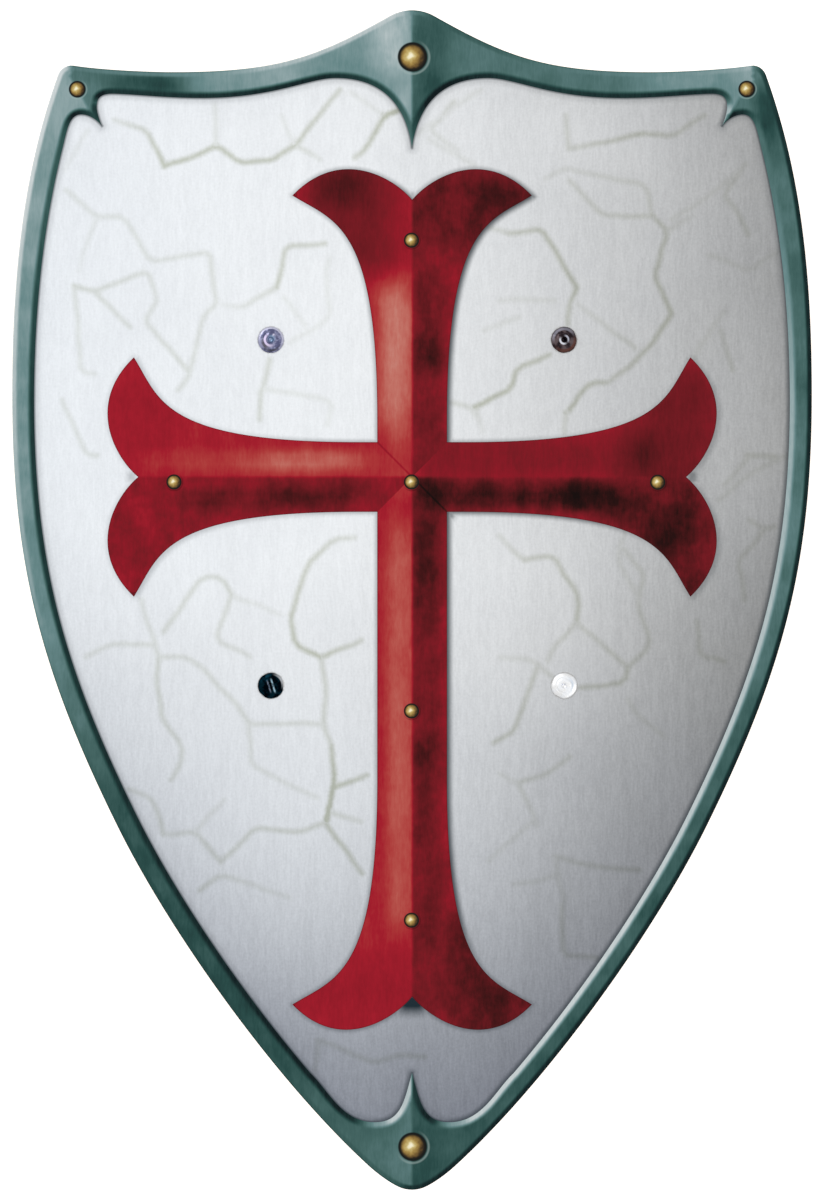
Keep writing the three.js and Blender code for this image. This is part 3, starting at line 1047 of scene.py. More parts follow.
@dataclass(frozen=True)
class FramePrint:
    """The teal frame, with bevels painted as highlight and shade along both of its edges."""

    effects: Effects
    finish: PrintFinish
    studs: tuple[tuple[float, float, float], ...]
    rim_bevel: tuple[float, float] = (2.5, 1.2)
    inner_bevel: tuple[float, float] = (-3.1, -1.1)
    rim_line: tuple[float, float] = (0.7, 0.1)

    def build(self) -> bpy.types.Material:
        """Makes the material."""
        material, graph, shader = new_material("frame_print")
        place = graph.place()
        x = graph.split(place)[0]
        grain = graph.use(self.effects.grain, Place=place, Scale=1.0)
        # The frame's tone by the way each edge faces is painted highlight and shade of drawn bevels.
        tone = graph.plus(graph.by_side("side_tone", x), graph.attribute("frame_light_and_shade"))
        cloud = graph.noise(place, 55.0, 3.0, 0.55)
        tone = graph.plus(tone, graph.ease(cloud, 0.25, 0.75, 0.07, -0.05))
        rim = graph.ease(graph.attribute("rim_depth"), *self.rim_bevel)
        tone = graph.blend(rim, tone, graph.by_side("rim_tone", x))
        inner = graph.ease(graph.attribute("border_depth"), *self.inner_bevel)
        tone = graph.blend(inner, tone, graph.by_side("inner_tone", x))
        # The outermost edge is painted darker where the rim is shaded and a little lighter where it is
        # lit.
        edge_light_and_shade = graph.ease(graph.by_side("rim_tone", x), 0.6, 0.95, 0.72, 1.12)
        line = graph.blend(graph.ease(graph.attribute("rim_depth"), *self.rim_line), 1.0, edge_light_and_shade)
        tone = graph.times(tone, line)
        tone = graph.plus(tone, graph.ease(grain.outputs["Grain"], 0.0, 1.0, 0.02, -0.02))
        colour = graph.ramp(
            tone,
            [
                (0.0, (2, 8, 10)),
                (0.12, (14, 30, 33)),
                (0.3, (44, 77, 74)),
                (0.45, (73, 106, 103)),
                (0.62, (104, 137, 138)),
                (0.8, (150, 172, 174)),
                (1.0, (214, 221, 222)),
            ],
        )
        # A pale ring at each stud's lower right is a painted highlight.
        colour = self.effects.add_studs(graph, colour, self.studs, 0.4, (170, 190, 186))
        self.finish.set(graph, shader, colour, grain.outputs["Height"])
        return material


@dataclass(frozen=True)
class CrossPrint:
    """The crimson cross, with ridges that are drawn as lit and dark halves of each arm."""

    effects: Effects
    finish: PrintFinish
    cross: CrossOutline
    studs: tuple[tuple[float, float, float], ...]

    def tone(self, graph: Graph, place: Socket, grain: Socket) -> Socket:
        """How light the cross is drawn, from 0 for black red to 1 for its glow."""
        x, y, _ = graph.split(place)
        x = graph.minus(x, self.cross.centre[0] * MM)
        y = graph.minus(y, self.cross.centre[1] * MM)
        x_size, y_size = graph.size(x), graph.size(y)
        upright = graph.math("LESS_THAN", x_size, y_size)
        left = graph.ease(x, 0.0009, -0.0007)
        above = graph.ease(y, -0.0009, 0.0009)
        lit = graph.blend(upright, above, left)
        light = graph.times(graph.attribute("cross_glow"), lit)
        gloom = graph.times(graph.attribute("cross_gloom"), graph.blend(lit, 1.0, 0.0))
        cloud = graph.noise(graph.stretch(place, (1.0, 0.7, 1.0)), 95.0, 4.0, 0.6)
        gloom = graph.times(gloom, graph.ease(cloud, 0.3, 0.7, 0.82, 1.15))
        tone = graph.plus(graph.blend(lit, 0.5, 0.62), light)
        tone = graph.plus(tone, gloom)
        tone = graph.plus(tone, graph.attribute("cross_shade"))
        broad = graph.noise(graph.stretch(place, (1.0, 0.6, 1.0)), 130.0, 2.0, 0.5)
        broad = graph.ease(broad, 0.3, 0.7, -1.0, 1.0)
        speck = graph.noise(graph.stretch(place, (1.0, 0.8, 1.0)), 420.0, 3.0, 0.6)
        speck = graph.ease(speck, 0.3, 0.7, -1.0, 1.0)
        rough = graph.plus(graph.times(broad, 0.055), graph.times(speck, 0.026))
        rough = graph.times(rough, graph.blend(lit, 1.0, 0.4))
        tone = graph.plus(tone, rough)
        tone = graph.plus(tone, graph.ease(grain, 0.0, 1.0, 0.022, -0.022))
        mitre = graph.size(graph.minus(x_size, y_size))
        mitre = graph.times(graph.ease(mitre, 0.0009, 0.0), graph.ease(x_size, 0.0145, 0.0135))
        across = graph.times(x, y)
        mitre = graph.times(mitre, graph.math("LESS_THAN", across, 0.0))
        return graph.plus(tone, graph.times(mitre, -0.14))

    def build(self) -> bpy.types.Material:
        """Makes the material."""
        material, graph, shader = new_material("cross_print")
        place = graph.place()
        grain = graph.use(self.effects.grain, Place=place, Scale=1.0)
        colour = graph.ramp(
            self.tone(graph, place, grain.outputs["Grain"]),
            [
                (0.0, (24, 8, 6)),
                (0.12, (44, 15, 14)),
                (0.24, (76, 21, 24)),
                (0.42, (121, 27, 36)),
                (0.52, (144, 26, 40)),
                (0.62, (166, 30, 46)),
                (0.72, (176, 58, 58)),
                (0.82, (188, 88, 80)),
                (0.92, (199, 118, 106)),
                (1.0, (207, 144, 132)),
            ],
        )
        edge = graph.ease(graph.attribute("cross_depth"), 0.55, 0.0, 0.0, 0.5)
        colour = graph.mix(edge, colour, linear(56, 12, 20))
        # A dark ring at each stud's lower right is a painted shadow.
        colour = self.effects.add_studs(graph, colour, self.studs, 0.5, (40, 8, 10))
        self.finish.set(graph, shader, colour, grain.outputs["Height"])
        return material


@dataclass(frozen=True)
class BareWood:
    """Bare birch: the back of the board."""

    effects: Effects

    def build(self) -> bpy.types.Material:
        """Makes the material."""
        material, graph, shader = new_material("bare_birch")
        place = graph.place()
        grain = graph.use(self.effects.grain, Place=place, Scale=0.6)
        patch = graph.use(self.effects.mottle, Place=place, Scale=14.0, Level=0.5).outputs[0]
        colour = graph.mix(grain.outputs["Grain"], linear(222, 192, 150), linear(196, 160, 116))
        colour = graph.mix(graph.times(patch, 0.25), colour, linear(206, 170, 122))
        graph.dress(shader, colour, 0.6, graph.bump(grain.outputs["Height"], 0.5, 0.0002))
        return material


@dataclass(frozen=True)
class PlyEdge:
    """The cut edge of the plywood, its plies light and dark by turns."""

    effects: Effects
    back: float
    ply: float = 1.2

    def build(self) -> bpy.types.Material:
        """Makes the material."""
        material, graph, shader = new_material("ply_edge")
        place = graph.place()
        height = graph.minus(graph.split(place)[2], self.back * MM)
        turn = graph.times(height, math.pi / (self.ply * MM))
        band = graph.ease(graph.math("SINE", turn), -0.35, 0.35)
        speck = graph.noise(graph.stretch(place, (1.0, 1.0, 5.0)), 500.0, 3.0, 0.6)
        light = graph.mix(speck, linear(214, 182, 138), linear(188, 150, 104))
        dark = graph.mix(speck, linear(160, 118, 76), linear(120, 84, 52))
        colour = graph.mix(band, dark, light)
        graph.dress(shader, colour, 0.65, graph.bump(speck, 0.4, 0.0002))
        return material


@dataclass(frozen=True)
class PaintedReflection:
    """A painted reflection on a rivet head, light or dark: a bow of a ring on the side it faces, or a
    straight streak.
    """

    colour: Colour
    radius: float = 0.0
    width: float = 1.0
    facing: float = 0.0
    spread: float = 1.0
    centre: tuple[float, float] = (0.0, 0.0)
    length: float = 0.0
    slant: float = 0.0

    def share(self, graph: Graph, place: Socket) -> Socket:
        """How strong the mark is at a place, which is given in millimetres from the middle."""
        moved = graph.vector("SUBTRACT", place, (*self.centre, 0.0)).outputs[0]
        x, y, _ = graph.split(moved)
        if self.length:
            across = graph.plus(x, graph.times(y, self.slant))
            beam = graph.ease(graph.size(across), self.width, 0.0)
            return graph.times(beam, graph.ease(graph.size(y), self.length, self.length / 2))
        from_middle = graph.vector("LENGTH", moved).outputs["Value"]
        from_ring = graph.size(graph.minus(from_middle, self.radius))
        ring = graph.ease(from_ring, self.width, self.width * 0.4)
        turn = math.radians(self.facing)
        heading = graph.vector("NORMALIZE", moved).outputs[0]
        ahead = graph.vector("DOT_PRODUCT", heading, (math.cos(turn), math.sin(turn), 0.0))
        return graph.times(ring, graph.ease(ahead.outputs["Value"], -self.spread, 1.0 - self.spread / 2))


@dataclass(frozen=True)
class RivetSteel:
    """Steel of a rivet: plain at its tail, and at its head painted with reflections, bluish, brownish,
    dark or white.
    """

    effects: Effects
    state: HeadState
    middle: tuple[float, float]
    tail_pale: Colour = (186, 186, 190)
    tail_deep: Colour = (132, 132, 138)

    def looks(self) -> tuple[Colour, Colour, float, tuple[PaintedReflection, ...]]:
        """The pale and the deep colour of its painted reflection, its roughness and the painted
        reflections on its head.
        """
        # Light rings, streaks and dark bows are painted reflections; the dark spot in the middle of the
        # brownish head is painted shade in its dimple.
        return {
            HeadState.POLISHED: (
                (158, 160, 192), (96, 98, 130), 0.35,
                (
                    PaintedReflection((206, 206, 226), radius=4.9, width=0.7, facing=80.0, spread=1.0),
                    PaintedReflection((70, 70, 78), radius=4.3, width=0.6, facing=-80.0, spread=-0.4),
                    PaintedReflection((84, 78, 76), radius=3.3, width=0.9, facing=218.0, spread=-0.5),
                    PaintedReflection((228, 216, 246), radius=2.4, width=0.65, facing=205.0, spread=0.3),
                    PaintedReflection((226, 222, 244), width=0.6, centre=(0.9, 1.7), length=0.9, slant=-0.6),
                    PaintedReflection((130, 154, 184), radius=0.0, width=2.0, spread=2.0, centre=(0.2, 0.4)),
                ),
            ),
            HeadState.WORN: (
                (98, 86, 88), (50, 42, 46), 0.45,
                (
                    PaintedReflection((134, 132, 142), radius=4.4, width=0.8, facing=105.0, spread=0.2),
                    PaintedReflection((96, 66, 60), radius=4.4, width=0.9, facing=-60.0, spread=0.2),
                    PaintedReflection((222, 224, 232), radius=1.6, width=0.55, facing=225.0, spread=0.1),
                    PaintedReflection((190, 192, 204), radius=1.7, width=0.5, facing=25.0, spread=-0.2),
                    PaintedReflection((12, 10, 16), radius=0.0, width=1.3, spread=2.0),
                ),
            ),
            HeadState.BLACKENED: (
                (14, 38, 48), (4, 14, 20), 0.3,
                (
                    PaintedReflection((118, 132, 150), width=0.5, centre=(-0.7, -0.4), length=2.8, slant=0.3),
                    PaintedReflection((160, 196, 214), width=0.55, centre=(0.9, 0.0), length=3.3, slant=0.3),
                    PaintedReflection((236, 240, 246), radius=4.9, width=0.8, facing=32.0, spread=-0.6),
                ),
            ),
            HeadState.BRIGHT: (
                (255, 255, 255), (247, 249, 252), 0.35,
                (
                    PaintedReflection((196, 202, 222), width=0.35, centre=(-0.6, 0.5), length=0.4),
                    PaintedReflection((196, 202, 222), width=0.35, centre=(0.2, 0.45), length=0.4),
                    PaintedReflection((214, 226, 240), radius=3.4, width=0.7, facing=10.0, spread=-0.5),
                ),
            ),
        }[self.state]

    def build(self) -> bpy.types.Material:
        """Makes the material."""
        material, graph, shader = new_material(f"{self.state.value}_steel")
        place = graph.place()
        patch = graph.use(self.effects.mottle, Place=place, Scale=420.0, Level=0.5).outputs[0]
        pale, deep, rough, marks = self.looks()
        dull = graph.ease(patch, 0.0, 1.0)
        front = graph.ease(graph.split(place)[2], 0.045, 0.047)
        tail = graph.mix(dull, linear(*self.tail_pale), linear(*self.tail_deep))
        # The head's colours stand in for what it reflects; the tail keeps plain steel.
        colour = graph.mix(front, tail, graph.mix(dull, linear(*pale), linear(*deep)))
        x, y = self.middle
        flat = graph.vector("MULTIPLY", place, (1.0, 1.0, 0.0)).outputs[0]
        away = graph.vector("SUBTRACT", flat, (x * MM, y * MM, 0.0)).outputs[0]
        near = graph.vector("MULTIPLY", away, (1 / MM, 1 / MM, 0.0)).outputs[0]
        waver = graph.times(graph.noise(place, 900.0, 2.0, 0.5), 0.6)
        # Each mark is a painted reflection, light or dark, on the head only.
        for mark in marks:
            share = graph.times(mark.share(graph, near), graph.plus(waver, 0.7), clamp=True)
            colour = graph.mix(graph.times(share, front), colour, linear(*mark.colour))
        rough = graph.ease(patch, 0.0, 1.0, rough, rough + 0.2)
        graph.dress(shader, colour, rough, graph.bump(patch, 0.15, 0.00006))
        graph.feed(shader.inputs["Metallic"], 1.0)
        return material


@dataclass(frozen=True)
class StrapLeather:
    """Brown strap leather with a pebbled grain and darker, burnished edges."""

    effects: Effects

    def build(self) -> bpy.types.Material:
        """Makes the material."""
        material, graph, shader = new_material("strap_leather")
        place = graph.place()
        patch = graph.use(self.effects.mottle, Place=place, Scale=60.0, Level=0.5).outputs[0]
        pebble = graph.add("ShaderNodeTexVoronoi", feature="DISTANCE_TO_EDGE")
        graph.feed(pebble.inputs["Vector"], place)
        graph.feed(pebble.inputs["Scale"], 900.0)
        cell = graph.ease(pebble.outputs["Distance"], 0.0, 0.25)
        colour = graph.mix(patch, linear(104, 66, 40), linear(78, 48, 30))
        colour = graph.mix(graph.ease(cell, 1.0, 0.0, 0.0, 0.35), colour, linear(44, 26, 16))
        colour = graph.mix(graph.attribute("edge_wear"), colour, linear(38, 22, 14))
        rough = graph.ease(patch, 0.0, 1.0, 0.42, 0.56)
        graph.dress(shader, colour, rough, graph.bump(cell, 0.5, 0.00025))
        return material


# Pieces


@dataclass(frozen=True)
class SoftSpot:
    """A soft patch of light, above 0, or of dark, below 0, that is painted into the print."""

    x: float
    y: float
    reach_x: float
    reach_y: float
    strength: float
    core: float = 0.25

    def at(self, places: np.ndarray) -> np.ndarray:
        """How strong the patch is at each place."""
        cores = (self.core, 0.1) if self.reach_x > self.reach_y else (0.1, self.core)
        away = np.abs(places - (self.x, self.y)) / (self.reach_x, self.reach_y)
        return self.strength * np.prod(
            [1.0 - smooth_step(away[:, axis], cores[axis], 1.0) for axis in (0, 1)], axis=0
        )


def painted(spots: tuple[SoftSpot, ...], places: np.ndarray) -> np.ndarray:
    """All the patches together at each place."""
    return np.sum([spot.at(places) for spot in spots], axis=0)


@dataclass(frozen=True)
class PaintedLight:
    """The light that is drawn into the print.

    The tables give a tone for the angle that an edge of the frame faces, in degrees anticlockwise
    from the right. The patches add to the tones of the frame, of the lit and the dark halves of
    the cross, of the whole cross and of the field.
    """

    side: tuple = (
        (0, 0.41), (6, 0.44), (14, 0.45), (22, 0.51), (55, 0.47), (78, 0.46), (86, 0.5), (90, 0.58),
        (94, 0.64), (100, 0.72), (112, 0.68), (161, 0.7), (172, 0.72), (177, 0.66), (192, 0.62),
        (198, 0.54), (203, 0.44), (207, 0.33), (213, 0.29), (219, 0.31), (224, 0.43), (233, 0.5),
        (269, 0.5), (271, 0.28), (310, 0.28), (320, 0.34), (330, 0.36), (341, 0.43), (347, 0.48),
        (357, 0.5), (360, 0.41),
    )
    rim: tuple = (
        (0, 0.15), (14, 0.17), (22, 0.24), (45, 0.3), (64, 0.38), (78, 0.5), (88, 0.56), (93, 0.68),
        (99, 0.84), (113, 0.9), (165, 0.98), (172, 0.95), (183, 0.84), (192, 0.74), (198, 0.55),
        (203, 0.42), (207, 0.3), (216, 0.27), (223, 0.38), (233, 0.38), (250, 0.3), (262, 0.18),
        (300, 0.14), (360, 0.15),
    )
    inner: tuple = (
        (0, 0.2), (20, 0.18), (45, 0.12), (65, 0.18), (78, 0.44), (90, 0.66), (104, 0.76),
        (118, 0.94), (145, 0.96), (165, 0.88), (180, 0.8), (187, 0.6), (193, 0.47), (205, 0.38),
        (225, 0.3), (255, 0.2), (275, 0.16), (300, 0.1), (325, 0.12), (340, 0.24), (350, 0.36),
        (356, 0.26), (360, 0.2),
    )
    # Painted highlight and shade on the frame: a lit and a dark face by the peak, shade near the upper
    # corners, a little light at the bottom tip.
    frame_light_and_shade: tuple[SoftSpot, ...] = (
        SoftSpot(-106.0, 206.5, 24.0, 9.0, -0.26),
        SoftSpot(142.5, 195.0, 9.0, 20.0, -0.2),
        SoftSpot(-9.0, 222.0, 12.0, 16.0, 0.17),
        SoftSpot(-26.0, 212.0, 18.0, 14.0, -0.04),
        SoftSpot(-3.0, 196.0, 5.0, 16.0, 0.1),
        SoftSpot(8.5, 216.0, 10.0, 24.0, -0.14),
        SoftSpot(24.0, 214.0, 9.0, 12.0, 0.06),
        SoftSpot(14.0, -217.0, 12.0, 16.0, 0.06),
    )
    glow: tuple[SoftSpot, ...] = (
        SoftSpot(-6.4, 99.0, 12.2, 41.0, 0.31, 0.35),
        SoftSpot(-5.0, 58.0, 9.0, 22.0, 0.09, 0.4),
        SoftSpot(-4.8, -52.0, 9.6, 92.0, 0.19, 0.75),
        SoftSpot(-62.0, 55.3, 54.0, 7.6, 0.1, 0.7),
        SoftSpot(-42.0, 55.4, 32.0, 7.8, 0.15),
    )
    gloom: tuple[SoftSpot, ...] = (
        SoftSpot(5.4, -20.0, 9.4, 138.0, -0.15, 0.8),
        SoftSpot(7.0, 112.0, 9.5, 26.0, -0.17, 0.5),
        SoftSpot(6.5, 18.0, 15.0, 24.0, -0.12, 0.5),
        SoftSpot(4.0, -66.0, 10.0, 15.0, -0.1),
        SoftSpot(-62.0, 40.0, 44.0, 8.0, -0.15, 0.6),
        SoftSpot(-38.0, 44.0, 32.0, 8.0, -0.12, 0.3),
        SoftSpot(-78.0, 41.0, 12.0, 6.0, -0.06),
        SoftSpot(38.0, 42.0, 46.0, 9.4, -0.3, 0.62),
        SoftSpot(73.0, 41.5, 25.0, 11.0, -0.2),
        SoftSpot(84.0, 36.0, 22.0, 16.0, -0.1),
        SoftSpot(105.0, 28.0, 11.0, 13.0, -0.16),
        SoftSpot(102.0, 24.0, 34.0, 34.0, -0.17, 0.5),
        SoftSpot(34.0, 158.0, 44.0, 34.0, -0.2, 0.6),
        SoftSpot(30.0, 163.0, 12.0, 9.0, -0.04),
        SoftSpot(33.0, -153.0, 34.0, 34.0, -0.23, 0.6),
        SoftSpot(112.0, 20.0, 26.0, 40.0, -0.06, 0.4),
    )
    shade: tuple[SoftSpot, ...] = (
        SoftSpot(-31.0, 164.0, 18.0, 12.0, -0.14),
        SoftSpot(-23.0, 156.0, 30.0, 34.0, -0.24, 0.5),
        SoftSpot(-20.0, -156.0, 38.0, 24.0, -0.06, 0.4),
        SoftSpot(-108.0, 66.0, 24.0, 28.0, -0.05, 0.4),
    )
    lit_arm: tuple[SoftSpot, ...] = (
        SoftSpot(50.0, 57.0, 52.0, 18.0, -0.17, 0.8),
        SoftSpot(106.0, 66.0, 34.0, 38.0, -0.25, 0.5),
    )
    field: tuple[SoftSpot, ...] = (
        SoftSpot(-15.0, 80.0, 130.0, 120.0, -4.0),
        SoftSpot(-15.0, -98.0, 120.0, 84.0, 13.0),
        SoftSpot(135.0, 190.0, 90.0, 80.0, 6.0),
        SoftSpot(-70.0, -195.0, 60.0, 60.0, -10.0),
        SoftSpot(50.0, -10.0, 60.0, 60.0, 10.0),
        SoftSpot(140.0, 72.0, 30.0, 70.0, 9.0),
        SoftSpot(75.0, 190.0, 40.0, 30.0, 7.0),
    )
    # Painted shadows in the four notches between the lobes of the cross and in its lower right inner
    # corner.
    painted_shading_blots: tuple[SoftSpot, ...] = (
        SoftSpot(0.0, -161.0, 9.5, 7.5, 1.05),
        SoftSpot(112.0, 49.4, 3.5, 4.0, 0.6),
        SoftSpot(-112.0, 49.4, 3.5, 4.0, 0.35),
        SoftSpot(0.0, 161.0, 3.0, 3.5, 0.5),
        SoftSpot(15.2, 34.4, 3.4, 3.4, 0.7),
    )
    # How much the peak's right face is painted darker and its left face lighter, and how far from the
    # middle this reaches.
    facet: float = 0.1
    facet_reach: float = 15.0
    brightest: tuple[float, float] = (-51.0, 64.0)
    fall: tuple[float, float] = (373.0, 492.0)
    fall_power: float = 1.44
    top_tone: float = 257.0
    tone_drop: float = 153.0
    edge_drop: float = 11.0
    edge_reach: float = 30.0
    tone_range: tuple[float, float] = (121.0, 250.0)
    lit_inner: tuple[float, float] = (0.5, 0.8)

    def tones(self, table: tuple, faces: np.ndarray) -> tuple[np.ndarray, np.ndarray]:
        """Tones of edges on the right of the middle line and of their mirror images.

        Args:
            table: Angles and tones.
            faces: The directions that the edges on the right face.

        Returns:
            The tones if the places lie on the left, and those if they lie on the right.
        """
        angles, tones = zip(*table)
        headings = (
            np.degrees(np.arctan2(faces[:, 1], faces[:, 0] * side)) % 360.0 for side in (-1.0, 1.0)
        )
        left, right = (np.interp(heading, angles, tones) for heading in headings)
        return left, right

    def field_tone(self, places: np.ndarray, depth: np.ndarray) -> np.ndarray:
        """How light the field is drawn, 0 to 255, brightest at the upper left."""
        across = np.clip(places[:, 0] - self.brightest[0], 0.0, None) / self.fall[0]
        down = np.clip(self.brightest[1] - places[:, 1], 0.0, None) / self.fall[1]
        power = self.fall_power
        gap = (across**power + down**power) ** (1.0 / power)
        tone = self.top_tone - self.tone_drop * smooth_step(gap, 0.0, 1.0)
        tone -= self.edge_drop * np.exp(-np.clip(depth, 0.0, None) / self.edge_reach)
        return tone + painted(self.field, places)

    def field_light(self, places: np.ndarray, depth: np.ndarray) -> np.ndarray:
        """Where the tone of the field lies between its darkest, 0, and its lightest, 1."""
        low, high = ((tone / 255) ** 2.2 for tone in self.tone_range)
        tone = self.field_tone(places, depth) / 255.0
        return np.clip((tone**2.2 - low) / (high - low), 0.0, 1.0)

    def field_cool(self, places: np.ndarray) -> np.ndarray:
        """How bluish the field is drawn, more to the left and at the bottom."""
        cool = 0.32 - places[:, 0] / 450.0 + np.clip(-20.0 - places[:, 1], 0.0, None) / 400.0
        return np.clip(cool, 0.0, 1.0)


@dataclass
class Board:
    """The plywood board with its printed face."""

    outline: BoardOutline
    border: FieldOutline
    cross: CrossOutline
    rivets: list[tuple[float, float]]
    crackle: Crackle = field(default_factory=Crackle)
    drawn: PaintedLight = field(default_factory=PaintedLight)
    name: str = "printed_board"
    edge_round: float = 0.5
    hole_radius: float = 2.3
    ring_step: float = 1.2
    shadow_shift: tuple[float, float] = (1.1, -0.5)
    crackle_reach: float = 6.0
    off_middle: float = 0.02
    merge: float = 2e-6

    def __post_init__(self) -> None:
        """Reads the board's back and face from its CAD node."""
        low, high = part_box("board")
        self.back, self.face = low.z / MM, high.z / MM

    def plate(self) -> bpy.types.Object:
        """The board's edge with its eased rims, without its back and its face."""
        ring = self.outline.contour().points(self.ring_step)
        bpy.ops.object.select_all(action="DESELECT")
        bpy.ops.mesh.primitive_circle_add(vertices=len(ring), radius=1.0, fill_type="NGON")
        piece = bpy.context.active_object
        piece.name = piece.data.name = self.name
        for vertex, (x, y) in zip(piece.data.vertices, ring):
            vertex.co = (x * MM, y * MM, self.back * MM)
        bpy.ops.object.mode_set(mode="EDIT")
        bpy.ops.mesh.select_all(action="SELECT")
        rise = (self.face - self.back) * MM
        bpy.ops.mesh.extrude_region_move(TRANSFORM_OT_translate={"value": (0, 0, rise)})
        bpy.ops.object.mode_set(mode="OBJECT")
        self.select_edges(piece, lambda a, b: abs(a.z - b.z) < 1e-5)
        bpy.ops.object.mode_set(mode="EDIT")
        bpy.ops.mesh.bevel(offset=self.edge_round * MM, segments=3, affect="EDGES")
        bpy.ops.mesh.select_all(action="DESELECT")
        bpy.ops.mesh.select_mode(type="FACE")
        bpy.ops.object.mode_set(mode="OBJECT")
        for polygon in piece.data.polygons:
            polygon.select = abs(polygon.normal.z) > 0.999
        bpy.ops.object.mode_set(mode="EDIT")
        bpy.ops.mesh.delete(type="ONLY_FACE")
        bpy.ops.object.mode_set(mode="OBJECT")
        return piece

    def select_edges(self, piece: bpy.types.Object, wanted: Callable[[Vector, Vector], bool]) -> None:
        """Selects the edges whose two ends the test accepts, in edge mode."""
        bpy.ops.object.mode_set(mode="EDIT")
        bpy.ops.mesh.select_mode(type="EDGE")
        bpy.ops.mesh.select_all(action="DESELECT")
        bpy.ops.object.mode_set(mode="OBJECT")
        vertices = piece.data.vertices
        for edge in piece.data.edges:
            edge.select = wanted(*(vertices[index].co for index in edge.vertices))

    def rim(self, plate: bpy.types.Object, height: float) -> Line:
        """The plate's open rim at a height, in order round the board."""
        places = vertex_places(plate)
        rim = places[np.abs(places[:, 2] - height) < 1e-3][:, :2]
        ring = self.outline.contour().points(self.ring_step)
        tree = search_tree(ring)
        return rim[np.argsort([tree.find((x, y, 0.0))[1] for x, y in rim], kind="stable")]

    def cap(self, plate: bpy.types.Object, height: float, front: bool) -> bpy.types.Object:
        """The flat face or back of the board, with the rivet holes left open.

        Args:
            plate: The board's edge.
            height: Where the cap lies.
            front: Whether it is the printed face.

        Returns:
            The cap as an object of its own.
        """
        circles = [hole_ring(rivet, self.hole_radius) for rivet in self.rivets]
        rings = [self.rim(plate, height)]
        if front:
            rings += [self.border.contour().points(1.0), self.cross.contour().points(1.0)]
            traces = self.crackle.lines(0.9)
            sheet = Sheet(rings, circles, fine=1.5, coarse_every=3, near=6.5, traces=traces)
        else:
            sheet = Sheet(rings, circles, fine=12.0, coarse_every=1, near=20.0)
        flat, triangles = sheet.build()
        places = np.column_stack([flat, np.full(len(flat), height)])
        if not front:
            triangles = [triangle[::-1] for triangle in triangles]
        return new_piece("board_cap", places, triangles)

    def sort_areas(self, cap: bpy.types.Object) -> None:
        """Gives each triangle of the face to the field, the frame or the cross."""
        middles = np.zeros(len(cap.data.polygons) * 3)
        cap.data.polygons.foreach_get("center", middles)
        flat = middles.reshape(-1, 3)[:, :2] / MM
        in_field = self.border.contour().holds(flat)
        in_cross = self.cross.contour().holds(flat)
        areas = np.where(in_field, PrintArea.FIELD.value, PrintArea.FRAME.value)
        areas = np.where(in_cross, PrintArea.CROSS.value, areas)
        cap.data.polygons.foreach_set("material_index", areas.astype(np.int32))

    def build(self, materials: dict[PrintArea, bpy.types.Material]) -> bpy.types.Object:
        """Makes the whole board.

        Args:
            materials: A finish for each area.

        Returns:
            The finished board.
        """
        plate = self.plate()
        front = self.cap(plate, self.face, True)
        back = self.cap(plate, self.back, False)
        for piece in (plate, front, back):
            for area in PrintArea:
                piece.data.materials.append(materials[area])
        self.sort_areas(front)
        for polygon in plate.data.polygons:
            eased = polygon.center.z > (self.face - self.edge_round) * MM
            area = PrintArea.FRAME if eased else PrintArea.EDGE
            polygon.material_index = area.value
        for polygon in back.data.polygons:
            polygon.material_index = PrintArea.BACK.value
        near = [Vector((x * MM, y * MM, self.face * MM)) for x, y in self.rivets]
        reach = (self.hole_radius + 0.05) * MM
        select_only(front)
        self.select_edges(
            front, lambda a, b: any((a - c).length < reach and (b - c).length < reach for c in near)
        )
        bpy.ops.object.mode_set(mode="EDIT")
        drop = (self.back - self.face) * MM
        bpy.ops.mesh.extrude_edges_move(TRANSFORM_OT_translate={"value": (0, 0, drop)})
        bpy.ops.object.mode_set(mode="OBJECT")
        bpy.ops.object.select_all(action="DESELECT")
        for piece in (front, back, plate):
            piece.select_set(True)
        bpy.context.view_layer.objects.active = plate
        bpy.ops.object.join()
        close_mesh(self.merge)
        self.paint(plate)
        return plate

    def paint(self, piece: bpy.types.Object) -> None:
        """Writes what the finishes read at each vertex of the board."""
        places = vertex_places(piece)[:, :2]
        folded = np.column_stack([np.maximum(np.abs(places[:, 0]), self.off_middle), places[:, 1]])
        rim_depth, rim_faces = self.outline.contour().measure(folded)
        border_depth, border_faces = self.border.contour().measure(folded)
        values = {"rim_depth": rim_depth, "border_depth": border_depth}
        # The peak's left face is painted a little lighter and its right face darker, fading away from
        # the middle.
        fade = np.clip(1.0 - np.abs(places[:, 0]) / self.drawn.facet_reach, 0.0, 1.0) ** 1.5
        facet = self.drawn.facet * fade * (places[:, 1] > 0.0)
        for name, table, faces, fold in (
            ("side_tone", self.drawn.side, rim_faces, facet),
            ("rim_tone", self.drawn.rim, rim_faces, 0.0),
            ("inner_tone", self.drawn.inner, -border_faces, 0.0),
        ):
            left, right = self.drawn.tones(table, faces)
            values[f"{name}_left"] = left + 0.2 * fold
            values[f"{name}_right"] = right - fold
